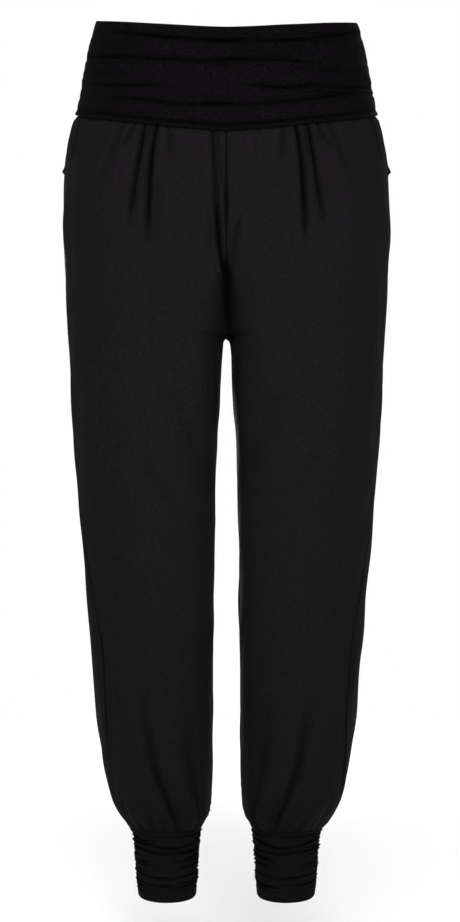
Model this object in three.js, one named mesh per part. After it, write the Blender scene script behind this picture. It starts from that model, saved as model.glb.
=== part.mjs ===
// Harem trousers in soft black jersey, in their worn shape with no wearer in them.
// Sizes are in millimetres. Z points up and the front faces -Y.
// Zero is the middle of the waist opening, level with its top edge at centre front.
// The garment's own right side lies at -X and its left side at +X.
import * as THREE from 'three';

const CLOTH = 1.6; // wall of a jersey panel
const BAND_WALL = 2.0; // wall of the folded double waistband
const SEAM_GAP = 0.3; // space between two sewn pieces
const HALF_GAP = SEAM_GAP / 2;
const LAP = 8; // how far the trousers reach up under the waistband
const LAP_CLEAR = 1.1; // space between the waistband and the cloth under it
const LAP_FADE = 10; // length over which the cloth below the band comes out to full width
const FACING_CLEAR = 1.1; // space between a pocket facing and the panel over it
const ANKLE = -902; // seam between a leg and its cuff
const HEM = -983; // lower edge of the cuffs
const CROTCH = -337; // underside of the fork
const RIGHT = -1;
const LEFT = 1;

function table(columns, rows) {
  const names = columns.split(' ');
  return rows.map((row) => Object.fromEntries(names.map((name, i) => [name, row[i]])));
}

function easing(t) {
  const c = Math.min(Math.max(t, 0), 1);
  return c * c * (3 - 2 * c);
}

// A smooth curve through one column of a table, read at any height.
function curve(rows, key, by = 'z') {
  const points = rows.map((row) => [row[by], row[key]]).sort((p, q) => p[0] - q[0]);
  const last = points.length - 1;
  const steps = points.slice(1).map((p, i) => (p[1] - points[i][1]) / (p[0] - points[i][0]));
  const slopes = points.map((p, i) => {
    if (i === 0) return steps[0];
    if (i === last) return steps[last - 1];
    const before = steps[i - 1];
    const after = steps[i];
    return before * after <= 0 ? 0 : (2 * before * after) / (before + after);
  });
  return (at) => {
    const x = Math.min(Math.max(at, points[0][0]), points[last][0]);
    let i = 0;
    while (i < last - 1 && x > points[i + 1][0]) i += 1;
    const span = points[i + 1][0] - points[i][0];
    const t = (x - points[i][0]) / span;
    const rise = points[i][1] * (1 + 2 * t) * (1 - t) ** 2 + points[i + 1][1] * t * t * (3 - 2 * t);
    return rise + span * (slopes[i] * t * (1 - t) ** 2 + slopes[i + 1] * t * t * (t - 1));
  };
}

// Outer half width of the garment.
const WIDTH = table('z outer', [
  [30, 148], [18, 151.5], [3, 156], [-18, 160.5], [-38, 164.5], [-59, 168], [-80, 172.5], [-100, 178.5],
  [-135, 184], [-181, 187], [-215, 188], [-250, 186], [-296, 184.5], [-342, 181.7], [-411, 178.8],
  [-480, 173.9], [-549, 168.8], [-618, 163], [-687, 156.9], [-756, 150.4], [-802, 146], [-848, 138],
  [-871, 131], [-885, 124], [-898, 115], [-905, 110.6], [-912, 107.6], [-940, 105], [-967, 103.2],
  [-984, 101.8],
]);

// Half of the gap between the legs. Above the fork it is minus the reach of each leg's
// round form past the centre line, where the two halves are cut and joined.
const GAP = table('z inner', [
  [-120, -183], [-150, -165], [-180, -140], [-210, -109], [-235, -78], [-255, -52], [-270, -33],
  [-283, -20], [-295, -11.5], [-307, -6.3], [-320, -2.8], [-331, -1], [CROTCH, HALF_GAP], [-339, 2.4],
  [-342, 4.4], [-350, 5.2], [-365, 5.9], [-411, 8], [-457, 11.5], [-503, 12.8], [-549, 13.8],
  [-641, 15], [-756, 16], [-848, 16.8], [-871, 18], [-885, 20.2], [-892, 23], [-898, 27],
  [-905, 29], [-912, 30.4], [-940, 33], [-967, 34.2], [-984, 35.1],
]);

// Front and back limits, and the depth at which the form is widest.
const DEPTH = table('z front back middle', [
  [30, -98, 108, 4], [0, -101, 114, 5], [-60, -109, 124, 6], [-110, -116, 136, 8], [-160, -119, 146, 10],
  [-215, -118, 150, 12], [-260, -116, 148, 13], [-300, -112, 143, 13], [-338, -108, 136, 13],
  [-411, -100, 128, 13], [-480, -93, 119, 12], [-545, -88, 111, 11], [-618, -83, 103, 10],
  [-687, -79, 98, 10], [-756, -75, 96, 11], [-802, -72, 94, 12], [-848, -66, 88, 12],
  [-871, -60, 81, 12], [-885, -52, 74, 12], [-898, -39, 62, 12], [-905, -32, 56, 12],
  [-912, -28.5, 52.5, 12], [-940, -26.5, 50.5, 12], [-984, -24, 48, 12],
]);

// How square each section is, on the outer and on the inner half of a leg.
const SQUARE = table('z out in', [
  [30, 2.25, 2.25], [-60, 2.35, 2.35], [-120, 2.5, 2.5], [-200, 2.6, 2.9], [-255, 2.45, 3.7],
  [-300, 2.3, 4], [-345, 2.25, 4], [-420, 2.2, 3.6], [-500, 2.15, 3.2], [-620, 2.1, 2.9],
  [-780, 2.1, 2.5], [-984, 2.1, 2.1],
]);

// The side seam rolls forward on the lower leg, in degrees from the widest point.
const SEAM_ROLL = table('z roll', [
  [-430, 0], [-500, 11], [-560, 26], [-640, 41], [-700, 48], [-780, 46], [-840, 36], [-885, 17], [-912, 4],
]);

const outerAt = curve(WIDTH, 'outer');
const gapAt = curve(GAP, 'inner');
const frontAt = curve(DEPTH, 'front');
const backAt = curve(DEPTH, 'back');
const middleAt = curve(DEPTH, 'middle');
const squareOutAt = curve(SQUARE, 'out');
const squareInAt = curve(SQUARE, 'in');
const rollAt = curve(SEAM_ROLL, 'roll');
const WHOLE_ROUND = -120; // above this height both halves share one round section
const FORK_TOP = -238; // from here down the shares spread out towards the inseam
const DRAWN_IN = 0.3; // shares up to this one are drawn in to the cut above the fork

function section(z) {
  const outer = outerAt(z);
  const inner = z > WHOLE_ROUND ? -outer : Math.max(gapAt(z), -outer);
  return {
    centre: (outer + inner) / 2,
    half: (outer - inner) / 2,
    inner,
    front: frontAt(z),
    back: backAt(z),
    middle: middleAt(z),
    squareOut: squareOutAt(z),
    squareIn: squareInAt(z),
    side: Math.PI / 2 - (rollAt(z) * Math.PI) / 180,
  };
}

// A point of a section by its turn: 0 is the front, a quarter the side, a half the back.
function turnPoint(s, turn) {
  const across = Math.sin(turn);
  const ahead = Math.cos(turn);
  const depth = ahead >= 0 ? s.middle - s.front : s.back - s.middle;
  const square = across >= 0 ? s.squareOut : s.squareIn;
  const sum = Math.abs(across / s.half) ** square + Math.abs(ahead / depth) ** square;
  const reach = sum ** (-1 / square);
  return [s.centre + reach * across, s.middle - reach * ahead];
}

// The turn at which a half starts: on the centre line above the fork, on the inseam below it.
function startTurn(s, face, startX) {
  const facedTurn = (turn) => (face === 'front' ? turn : Math.PI - turn);
  let low = -Math.PI / 2;
  if (s.inner >= startX) return facedTurn(low);
  let high = 0.2;
  for (let i = 0; i < 40; i += 1) {
    const mid = (low + high) / 2;
    if (turnPoint(s, facedTurn(mid))[0] < startX) low = mid;
    else high = mid;
  }
  return facedTurn(low);
}

const ARC_STEPS = 72;
const arcs = new Map();

function runLengths(s, from, to) {
  const turns = [];
  const lengths = [];
  let length = 0;
  let last = null;
  for (let i = 0; i <= ARC_STEPS; i += 1) {
    const turn = from + ((to - from) * i) / ARC_STEPS;
    const point = turnPoint(s, turn);
    if (last) length += Math.hypot(point[0] - last[0], point[1] - last[1]);
    turns.push(turn);
    lengths.push(length);
    last = point;
  }
  return { turns, lengths, length };
}

// The run of one half from its start to the side seam. Spread is the length over which its shares
// are laid out: near the fork it counts the part of the leg's round form that the cut takes away.
function arc(face, z, startX) {
  const key = `${face} ${z.toFixed(3)} ${startX}`;
  if (arcs.has(key)) return arcs.get(key);
  const s = section(z);
  const from = startTurn(s, face, startX);
  const run = { s, ...runLengths(s, from, s.side) };
  const inseam = face === 'front' ? -Math.PI / 2 : (3 * Math.PI) / 2;
  const nearFork = easing((FORK_TOP - z) / (FORK_TOP - CROTCH));
  run.spread = run.length + runLengths(s, inseam, from).length * nearFork;
  arcs.set(key, run);
  return run;
}

// Distance from the start of a run at a share, drawn in over the first shares where it is cut.
function shareDistance(run, share, startTrim) {
  const cut = run.length - startTrim - HALF_GAP;
  const spread = run.spread - startTrim - HALF_GAP;
  const fromSide = share >= DRAWN_IN ? (1 - share) * spread
    : cut + ((1 - DRAWN_IN) * spread - cut) * (share / DRAWN_IN);
  return run.length - HALF_GAP - fromSide;
}

function turnAt(run, distance) {
  const { lengths, turns } = run;
  let i = 0;
  while (i < ARC_STEPS - 1 && distance > lengths[i + 1]) i += 1;
  const t = (distance - lengths[i]) / (lengths[i + 1] - lengths[i]);
  return turns[i] + (turns[i + 1] - turns[i]) * t;
}

function level(x, y, z) {
  const s = section(z);
  const square = x >= s.centre ? s.squareOut : s.squareIn;
  const depth = y <= s.middle ? s.middle - s.front : s.back - s.middle;
  return (Math.abs((x - s.centre) / s.half) ** square + Math.abs((y - s.middle) / depth) ** square) ** (1 / square);
}

const PROBE = 0.05; // step used to find which way the surface faces

function facing(x, y, z, upright) {
  const dx = level(x + PROBE, y, z) - level(x - PROBE, y, z);
  const dy = level(x, y + PROBE, z) - level(x, y - PROBE, z);
  const dz = upright ? 0 : level(x, y, z + PROBE) - level(x, y, z - PROBE);
  const size = Math.hypot(dx, dy, dz);
  return [dx / size, dy / size, dz / size];
}

// A point on the worn form. Share runs from the centre line or inseam (0) to the side seam (1).
function formPoint(face, share, z, { startX = HALF_GAP, upright = false } = {}) {
  const run = arc(face, z, startX);
  const startTrim = run.s.inner >= startX ? HALF_GAP : 0;
  const distance = shareDistance(run, share, startTrim);
  const [x, y] = turnPoint(run.s, turnAt(run, distance));
  return { at: [x, y, z], out: facing(x, y, z, upright), length: run.length };
}

// The lines that fold round the waistband, from its top edge to its lower edge. Each has its
// height at centre front and back and at both sides, how late it rises, and how far it stands out.
const BAND_LINES = table(
  'front back right left late outFront outBack outRight outLeft halves',
  [
    [0, 30, 26, 23.5, 1.55, 0.2, 0.2, 0.2, 0.2, 2],
    [-10, 21, 15, 14, 1.35, 2, 1.8, 1.2, 1.2, 1],
    [-16.7, 12, 8.5, 9, 1.1, -1.8, -1.8, -0.9, -0.7, 2],
    [-30, -4, -10, -10, 1.05, 2, 1.8, 1.2, 1.2, 1],
    [-37.2, -16, -21, -25, 1.0, -2, -1.8, -1.1, -0.5, 1],
    [-43, -21, -26, -30, 1.0, 1.5, 1.4, 0.8, 0.7, 2],
    [-60, -34, -45, -43, 1.3, 1.5, 1.6, 1, 1.3, 1],
    [-69, -42, -52, -50, 1.5, -0.6, -1.6, -0.9, -1.1, 1],
    [-74, -47, -56.5, -54, 1.4, 1.1, 1.2, 0.7, 0.9, 2],
    [-88.4, -58, -64, -60.5, 1.2, -1.6, -1.6, -0.7, -1.1, 1],
    [-94, -63, -68, -65.5, 1.25, 1.5, 1.4, 0.9, 1.2, 2],
    [-117.5, -84, -80.5, -81, 1.4, 0.7, 0.7, 0.7, 0.7, 1],
  ],
);

function sideName(side) {
  return side === RIGHT ? 'right' : 'left';
}

function lineHeight(line, face, side, share) {
  return line[face] + (line[sideName(side)] - line[face]) * share ** line.late;
}

function lineOut(line, face, side, share) {
  const middle = face === 'front' ? line.outFront : line.outBack;
  const edge = side === RIGHT ? line.outRight : line.outLeft;
  const blend = share * share * (3 - 2 * share);
  return middle + (edge - middle) * blend;
}

const BAND_FOOT = BAND_LINES[BAND_LINES.length - 1];

// How far the waistband stands out of the form at any height.
function bandOut(face, side, share, z) {
  for (let i = 0; i < BAND_LINES.length - 1; i += 1) {
    const high = lineHeight(BAND_LINES[i], face, side, share);
    const low = lineHeight(BAND_LINES[i + 1], face, side, share);
    if (z >= low || i === BAND_LINES.length - 2) {
      const t = Math.min(Math.max((high - z) / (high - low), 0), 1);
      const blend = t * t * (3 - 2 * t);
      const from = lineOut(BAND_LINES[i], face, side, share);
      const to = lineOut(BAND_LINES[i + 1], face, side, share);
      return from + (to - from) * blend;
    }
  }
  return 0;
}

// Where the trousers go in under the waistband, and come out below it.
function lapShift(face, side, share, z) {
  const foot = lineHeight(BAND_FOOT, face, side, share);
  const under = bandOut(face, side, share, Math.max(z, foot)) - BAND_WALL - LAP_CLEAR;
  return Math.min(under, 0) * (1 - easing((foot - z) / LAP_FADE));
}

// Tucks at the waist and long folds, each through three points of height and share.
const FOLDS = table('face side z1 share1 z2 share2 z3 share3 depth width', [
  ['front', 0, -100, 0.268, -134, 0.242, -162, 0.231, 1.4, 5],
  ['front', 0, -98, 0.302, -150, 0.319, -244, 0.324, 4, 5.5],
  ['front', 0, -98, 0.36, -157, 0.377, -225, 0.402, 3.4, 5.5],
  ['front', 0, -98, 0.4, -115, 0.42, -134, 0.46, 1.6, 5],
  ['front', 0, -98, 0.465, -150, 0.52, -196, 0.59, 1.4, 7],
  ['front', RIGHT, -114, 0.062, -200, 0.038, -258, 0.014, 3, 6],
  ['front', LEFT, -205, 0.062, -232, 0.04, -258, 0.018, 1.8, 6],
  ['front', 0, -700, 0.79, -797, 0.643, -896, 0.42, 3.5, 9],
  ['front', 0, -775, 0.51, -833, 0.401, -888, 0.24, 2.5, 9],
  ['back', 0, -66, 0.42, -120, 0.45, -170, 0.47, 2.4, 7],
  ['back', 0, -66, 0.62, -115, 0.64, -160, 0.67, 1.8, 7],
  ['back', 0, -640, 0.35, -700, 0.45, -760, 0.6, 2.5, 14],
]);

function foldShare(fold, z) {
  const through = table('z share', [[fold.z1, fold.share1], [fold.z2, fold.share2], [fold.z3, fold.share3]]);
  return curve(through, 'share')(z);
}

function foldOut(face, side, share, z, length) {
  let out = 0;
  for (const fold of FOLDS) {
    if (fold.face !== face || (fold.side !== 0 && fold.side !== side)) continue;
    const along = (fold.z1 - z) / (fold.z1 - fold.z3);
    if (along < 0 || along > 1) continue;
    const fade = easing((1 - along) * 2.2) * easing(along * 5 + 0.4);
    const off = ((share - foldShare(fold, z)) * length) / fold.width;
    out -= fold.depth * fade * Math.exp(-off * off);
  }
  return out;
}

// A closed thin shell: a grid of outer points and a grid of inner points, joined at the rims.
function shell(name, outer, inner, flip, colour) {
  const rows = outer.length;
  const cols = outer[0].length;
  const positions = [...outer.flat(), ...inner.flat()].flat();
  const index = [];
  const outerAtCell = (r, c) => r * cols + c;
  const innerAtCell = (r, c) => rows * cols + r * cols + c;
  const quad = (a, b, c, d) => {
    if (flip) index.push(a, c, b, a, d, c);
    else index.push(a, b, c, a, c, d);
  };
  for (let r = 0; r < rows - 1; r += 1) {
    for (let c = 0; c < cols - 1; c += 1) {
      quad(outerAtCell(r, c), outerAtCell(r + 1, c), outerAtCell(r + 1, c + 1), outerAtCell(r, c + 1));
      quad(innerAtCell(r, c), innerAtCell(r, c + 1), innerAtCell(r + 1, c + 1), innerAtCell(r + 1, c));
    }
  }
  for (let c = 0; c < cols - 1; c += 1) {
    const end = rows - 1;
    quad(innerAtCell(0, c), outerAtCell(0, c), outerAtCell(0, c + 1), innerAtCell(0, c + 1));
    quad(outerAtCell(end, c), innerAtCell(end, c), innerAtCell(end, c + 1), outerAtCell(end, c + 1));
  }
  for (let r = 0; r < rows - 1; r += 1) {
    const end = cols - 1;
    quad(innerAtCell(r, 0), innerAtCell(r + 1, 0), outerAtCell(r + 1, 0), outerAtCell(r, 0));
    quad(outerAtCell(r, end), outerAtCell(r + 1, end), innerAtCell(r + 1, end), innerAtCell(r, end));
  }
  const geometry = new THREE.BufferGeometry();
  geometry.setAttribute('position', new THREE.Float32BufferAttribute(positions, 3));
  geometry.setIndex(index);
  geometry.computeVertexNormals();
  const material = new THREE.MeshStandardMaterial({ color: colour, roughness: 0.9, metalness: 0 });
  const mesh = new THREE.Mesh(geometry, material);
  mesh.name = name;
  return mesh;
}

function moved(point, distance, side) {
  return [0, 1, 2].map((k) => (point.at[k] + point.out[k] * distance) * (k === 0 ? side : 1));
}

// One face of a grid, built from a rule that gives each cell its point, its stand-out and its wall.
function panel(name, face, side, rowCount, colCount, place, colour) {
  const outer = [];
  const inner = [];
  for (let r = 0; r < rowCount; r += 1) {
    const outerRow = [];
    const innerRow = [];
    for (let c = 0; c < colCount; c += 1) {
      const cell = place(r, c);
      outerRow.push(moved(cell.point, cell.out, side));
      innerRow.push(moved(cell.point, cell.out - cell.wall, side));
    }
    outer.push(outerRow);
    inner.push(innerRow);
  }
  return shell(name, outer, inner, (face === 'back') !== (side < 0), colour);
}

const BLACK_JERSEY = 0x1c1b1d;

// The folded waistband: one half at the front and one at the back, meeting at the side seams.
const BAND_SHARES = [0, 0.14, 0.28, 0.41, 0.53, 0.65, 0.75, 0.84, 0.92, 1];

function bandHalf(face) {
  const stations = [
    ...BAND_SHARES.slice(1).reverse().map((share) => ({ side: RIGHT, share })),
    ...BAND_SHARES.map((share) => ({ side: LEFT, share })),
  ];
  const steps = [];
  BAND_LINES.forEach((line, i) => {
    if (i === BAND_LINES.length - 1) steps.push([i, 0]);
    else for (let k = 0; k < line.halves; k += 1) steps.push([i, k / line.halves]);
  });
  const outer = [];
  const inner = [];
  for (const [i, part] of steps) {
    const outerRow = [];
    const innerRow = [];
    for (const { side, share } of stations) {
      const high = lineHeight(BAND_LINES[i], face, side, share);
      const low = i + 1 < BAND_LINES.length ? lineHeight(BAND_LINES[i + 1], face, side, share) : high;
      const z = high + (low - high) * part;
      const point = formPoint(face, share, z, { startX: 0, upright: true });
      const out = bandOut(face, side, share, z);
      outerRow.push(moved(point, out, side));
      innerRow.push(moved(point, out - BAND_WALL, side));
    }
    outer.push(outerRow);
    inner.push(innerRow);
  }
  return shell(`waistband_${face}`, outer, inner, face === 'back', BLACK_JERSEY);
}

// Heights of the grid rows of a leg panel, read at its centre line or inseam.
const ROWS = table('front back', [
  [-118, -85], [-123, -91], [-131, -101], [-147, -120], [-168, -148], [-194, -180], [-222, -213],
  [-245, -240], [-260, -258], [-274, -274], [-290, -290], [-306, -306], [-320, -320], [-329, -329],
  [-334, -334], [CROTCH, CROTCH], [-340, -340], [-350, -350], [-385, -385], [-440, -440], [-510, -510],
  [-585, -585], [-655, -655], [-715, -715], [-760, -760], [-800, -800], [-832, -832], [-854, -854],
  [-870, -870], [-881, -881], [-890, -890], [-897, -897],
]);
const SEAM_FADE_FROM = 10; // below the waist seam, where rows start to leave its slope
const SEAM_FADE_TO = -262; // height from which rows are level
const FRONT_SHARES = [
  0, 0.022, 0.045, 0.075, 0.12, 0.17, 0.22, 0.26, 0.29, 0.32, 0.35, 0.38, 0.41, 0.445, 0.5, 0.57, 0.66, 0.75,
  0.84, 0.92, 1,
];
const BACK_SHARES = [0, 0.04, 0.1, 0.2, 0.31, 0.42, 0.53, 0.64, 0.75, 0.84, 0.92, 1];
const PANEL_FOOT = ANKLE + HALF_GAP;
const UPRIGHT_BELOW = -887; // the wall's rim lies flat at the ankle

// The height of a row at a share: it follows the waist seam's slope near the top.
function rowHeight(face, side, base, share) {
  const seamStart = lineHeight(BAND_FOOT, face, side, 0);
  const rise = lineHeight(BAND_FOOT, face, side, share) - seamStart;
  const fade = 1 - easing((seamStart - SEAM_FADE_FROM - base) / (seamStart - SEAM_FADE_FROM - SEAM_FADE_TO));
  return base + rise * fade;
}

// The slanting pocket mouth, as a distance in front of the side seam.
const POCKET_FOOT = -149;
const POCKET_TOP = -81;
const POCKET_SLANT = 42;
const MOUTH_FROM = 0.57; // shares of the front panel beyond this are drawn in to the mouth

function mouthOffset(z) {
  const t = (z - POCKET_FOOT) / (POCKET_TOP - POCKET_FOOT);
  return t <= 0 ? 0 : POCKET_SLANT * Math.min(t, 1.2) ** 0.7;
}

function legPanel(face, side) {
  const shares = face === 'front' ? FRONT_SHARES : BACK_SHARES;
  const top = lineHeight(BAND_FOOT, face, side, 0) + LAP;
  const bases = [top, ...ROWS.map((row) => row[face]), PANEL_FOOT];
  const name = `${face}_${sideName(side)}`;
  return panel(name, face, side, bases.length, shares.length, (r, c) => {
    let share = shares[c];
    const z = rowHeight(face, side, bases[r], share);
    if (face === 'front' && share > MOUTH_FROM) {
      const limit = 1 - mouthOffset(z) / arc(face, z, HALF_GAP).length;
      share = MOUTH_FROM + ((share - MOUTH_FROM) * (limit - MOUTH_FROM)) / (1 - MOUTH_FROM);
    }
    const point = formPoint(face, share, z, { upright: z < UPRIGHT_BELOW });
    const out = foldOut(face, side, share, z, point.length) + lapShift(face, side, share, z);
    return { point, out, wall: CLOTH };
  }, BLACK_JERSEY);
}

// The facing that shows in the pocket mouth. It runs under the front panel's edge
// and a little way under the back panel.
const FACING_UNDER = 12;
const FACING_PAST_SEAM = 6;
const FACING_ROWS = [1, 0.86, 0.7, 0.54, 0.38, 0.22, 0.08, -0.12];
const FACING_COLS = [0, 0.25, 0.5, 0.75, 1];

function pocketFacing(side) {
  return panel(`pocket_facing_${sideName(side)}`, 'front', side, FACING_ROWS.length, FACING_COLS.length, (r, c) => {
    const top = lineHeight(BAND_FOOT, 'front', side, 0.9) + LAP * 0.7;
    const z = POCKET_FOOT + (top - POCKET_FOOT) * FACING_ROWS[r];
    const front = arc('front', z, HALF_GAP).length;
    const back = arc('back', z, HALF_GAP).length;
    const reach = mouthOffset(z) + FACING_UNDER;
    const ahead = reach - (reach + FACING_PAST_SEAM) * FACING_COLS[c];
    const face = ahead >= 0 ? 'front' : 'back';
    const share = ahead >= 0 ? 1 - ahead / front : 1 + ahead / back;
    const point = formPoint(face, share, z);
    const out = lapShift(face, side, share, z) - CLOTH - FACING_CLEAR;
    return { point, out, wall: CLOTH };
  }, BLACK_JERSEY);
}

// The gathered cuffs: small rolls that sag a little between the two side seams.
const CUFF_ROLLS = 10;
const CUFF_STRIP = 14; // plain strip above the hem
const ROLL_OUT = 1.1;
const ROLL_SAG = 3;
const CUFF_SHARES = [0, 0.14, 0.32, 0.5, 0.68, 0.86, 1];

function cuffHalf(face, side) {
  const top = ANKLE - HALF_GAP;
  const rollsFoot = HEM + CUFF_STRIP;
  const rows = [{ z: top, out: 0 }];
  for (let i = 1; i < CUFF_ROLLS * 2; i += 1) {
    const t = i / (CUFF_ROLLS * 2);
    rows.push({ z: top + (rollsFoot - top) * t, out: i % 2 ? ROLL_OUT : -ROLL_OUT });
  }
  rows.push({ z: rollsFoot, out: -ROLL_OUT * 0.6 }, { z: HEM + 9, out: 0.5 }, { z: HEM, out: 0.2 });
  const name = `cuff_${face}_${sideName(side)}`;
  return panel(name, face, side, rows.length, CUFF_SHARES.length, (r, c) => {
    const share = CUFF_SHARES[c];
    const free = Math.min((top - rows[r].z) / 8, (rows[r].z - HEM) / 8, 1);
    const z = rows[r].z - ROLL_SAG * Math.sin(Math.PI * share) * Math.max(free, 0);
    return { point: formPoint(face, share, z, { upright: true }), out: rows[r].out, wall: CLOTH };
  }, BLACK_JERSEY);
}

const garment = new THREE.Group();
garment.name = 'harem_pants';
for (const face of ['front', 'back']) {
  garment.add(bandHalf(face));
  for (const side of [RIGHT, LEFT]) {
    garment.add(legPanel(face, side));
    garment.add(cuffHalf(face, side));
  }
}
for (const side of [RIGHT, LEFT]) garment.add(pocketFacing(side));

export default garment;
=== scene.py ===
"""Harem trousers in soft black jersey, in their worn shape with no wearer in them.

The form is worked out in millimetres, with the same tables as the solids, and made in metres.
The garment's own right side lies at -X and its left side at +X; the front faces -Y.
"""

import math

import bpy
import numpy as np
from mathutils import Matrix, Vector


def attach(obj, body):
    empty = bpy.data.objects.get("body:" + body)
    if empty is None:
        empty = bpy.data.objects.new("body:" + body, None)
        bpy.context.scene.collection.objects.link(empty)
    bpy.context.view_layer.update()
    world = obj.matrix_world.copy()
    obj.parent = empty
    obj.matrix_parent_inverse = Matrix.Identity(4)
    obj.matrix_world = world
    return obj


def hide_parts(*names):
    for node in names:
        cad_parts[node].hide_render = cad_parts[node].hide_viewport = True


MM = 0.001
CLOTH = 1.6  # one layer of jersey
BAND_WALL = 2.0  # the two layers of the waistband
HALF_GAP = -0.02  # sewn edges reach this far past their seam, so that no light shows through
LAP = 8.0  # the leg panels go this far up inside the waistband
LAP_CLEAR = 1.1  # the room between them and the waistband there
LAP_FADE = 6.0  # below the waistband they come out to the form over this height
FACING_CLEAR = 1.1  # the room between a pocket facing and the panel over it
ANKLE = -902.0  # the height of the seam between leg and cuff
HEM = -983.0
CROTCH = -337.0
WHOLE_ROUND = -120.0  # above this height both halves share one round section
FORK_TOP = -238.0  # from here down to the crotch the panels reach further round between the legs
DRAWN_IN = 0.3  # the share beside the inseam that takes up this reach
RIGHT = -1
LEFT = 1


def table(columns, rows):
    """Returns the columns of a table as arrays, by name."""
    values = np.array(rows, dtype=float).T
    return dict(zip(columns.split(), values))


def curve(heights, values):
    """A smooth monotone curve through (height, value) pairs, read at any array of heights."""
    order = np.argsort(heights)
    x, y = np.asarray(heights, float)[order], np.asarray(values, float)[order]
    steps = np.diff(y) / np.diff(x)
    slopes = np.empty_like(y)
    slopes[0], slopes[-1] = steps[0], steps[-1]
    before, after = steps[:-1], steps[1:]
    both = before + after
    safe = np.where(both == 0, 1, both)
    slopes[1:-1] = np.where(before * after <= 0, 0, 2 * before * after / safe)

    def read(at):
        at = np.clip(at, x[0], x[-1])
        i = np.clip(np.searchsorted(x, at, side="right") - 1, 0, len(x) - 2)
        span = x[i + 1] - x[i]
        t = (at - x[i]) / span
        rise = y[i] * (1 + 2 * t) * (1 - t) ** 2 + y[i + 1] * t * t * (3 - 2 * t)
        return rise + span * (slopes[i] * t * (1 - t) ** 2 + slopes[i + 1] * t * t * (t - 1))

    return read


def easing(t):
    """A smooth step from 0 to 1, as t goes from 0 to 1."""
    c = np.clip(t, 0, 1)
    return c * c * (3 - 2 * c)


def bell(x):
    """A round hump of height 1 at 0 that is about gone at 2."""
    return np.exp(-x * x)


# Half of the width over all at each height, seen from the front.
WIDTH = table("z outer", [
    (30, 148), (18, 151.5), (3, 156), (-18, 160.5), (-38, 164.5), (-59, 168), (-80, 172.5),
    (-100, 178.5), (-135, 184), (-181, 187), (-215, 188), (-250, 186), (-296, 184.5), (-342, 181.7),
    (-411, 178.8), (-480, 173.9), (-549, 168.8), (-618, 163), (-687, 156.9), (-756, 150.4),
    (-802, 146), (-848, 138), (-871, 131), (-885, 124), (-898, 115), (-905, 110.6), (-912, 107.6),
    (-940, 105), (-967, 103.2), (-984, 101.8),
])
# The inner edge of a leg. Above the crotch it lies past the centre line.
GAP = table("z inner", [
    (-120, -183), (-150, -165), (-180, -140), (-210, -109), (-235, -78), (-255, -52), (-270, -33),
    (-283, -20), (-295, -11.5), (-307, -6.3), (-320, -2.8), (-331, -1), (-337, 0.15), (-339, 2.4),
    (-342, 4.4), (-350, 5.2), (-365, 5.9), (-411, 8), (-457, 11.5), (-503, 12.8), (-549, 13.8),
    (-641, 15), (-756, 16), (-848, 16.8), (-871, 18), (-885, 20.2), (-892, 23), (-898, 27),
    (-905, 29), (-912, 30.4), (-940, 33), (-967, 34.2), (-984, 35.1),
])
# The front and the back of the form, and its widest plane between them.
DEPTH = table("z front back middle", [
    (30, -98, 108, 4), (0, -101, 114, 5), (-60, -109, 124, 6), (-110, -116, 136, 8),
    (-160, -119, 146, 10), (-215, -118, 150, 12), (-260, -116, 148, 13), (-300, -112, 143, 13),
    (-338, -108, 136, 13), (-411, -100, 128, 13), (-480, -93, 119, 12), (-545, -88, 111, 11),
    (-618, -83, 103, 10), (-687, -79, 98, 10), (-756, -75, 96, 11), (-802, -72, 94, 12),
    (-848, -66, 88, 12), (-871, -60, 81, 12), (-885, -52, 74, 12), (-898, -39, 62, 12),
    (-905, -32, 56, 12), (-912, -28.5, 52.5, 12), (-940, -26.5, 50.5, 12), (-984, -24, 48, 12),
])
# How square the outer and the inner side of a section are. 2 is an ellipse.
SQUARE = table("z out in", [
    (30, 2.25, 2.25), (-60, 2.35, 2.35), (-120, 2.5, 2.5), (-200, 2.6, 2.9), (-255, 2.45, 3.7),
    (-300, 2.3, 4), (-345, 2.25, 4), (-420, 2.2, 3.6), (-500, 2.15, 3.2), (-620, 2.1, 2.9),
    (-780, 2.1, 2.5), (-984, 2.1, 2.1),
])
# How far the side seam rolls to the front, in degrees about the leg.
SEAM_ROLL = table("z roll", [
    (-430, 0), (-500, 11), (-560, 26), (-640, 41), (-700, 48), (-780, 46), (-840, 36), (-885, 17),
    (-912, 4),
])

outer_at = curve(WIDTH["z"], WIDTH["outer"])
gap_at = curve(GAP["z"], GAP["inner"])
front_at = curve(DEPTH["z"], DEPTH["front"])
back_at = curve(DEPTH["z"], DEPTH["back"])
middle_at = curve(DEPTH["z"], DEPTH["middle"])
square_out_at = curve(SQUARE["z"], SQUARE["out"])
square_in_at = curve(SQUARE["z"], SQUARE["in"])
roll_at = curve(SEAM_ROLL["z"], SEAM_ROLL["roll"])


def section(z):
    """The half section at each height: its centre, half width, depths and squareness."""
    outer = outer_at(z)
    inner = np.where(z > WHOLE_ROUND, -outer, np.maximum(gap_at(z), -outer))
    middle = middle_at(z)
    return {
        "inner": inner,
        "centre": (outer + inner) / 2,
        "half": (outer - inner) / 2,
        "middle": middle,
        "ahead": middle - front_at(z),
        "behind": back_at(z) - middle,
        "out": square_out_at(z),
        "in": square_in_at(z),
        "side": math.pi / 2 - np.radians(roll_at(z)),
    }


def turn_point(s, turn):
    """The point of a section at a turn about its centre: 0 is the front, a quarter turn the side."""
    across, ahead = np.sin(turn), np.cos(turn)
    depth = np.where(ahead >= 0, s["ahead"], s["behind"])
    square = np.where(across >= 0, s["out"], s["in"])
    total = np.abs(across / s["half"]) ** square + np.abs(ahead / depth) ** square
    reach = total ** (-1 / square)
    return s["centre"] + reach * across, s["middle"] - reach * ahead


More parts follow.
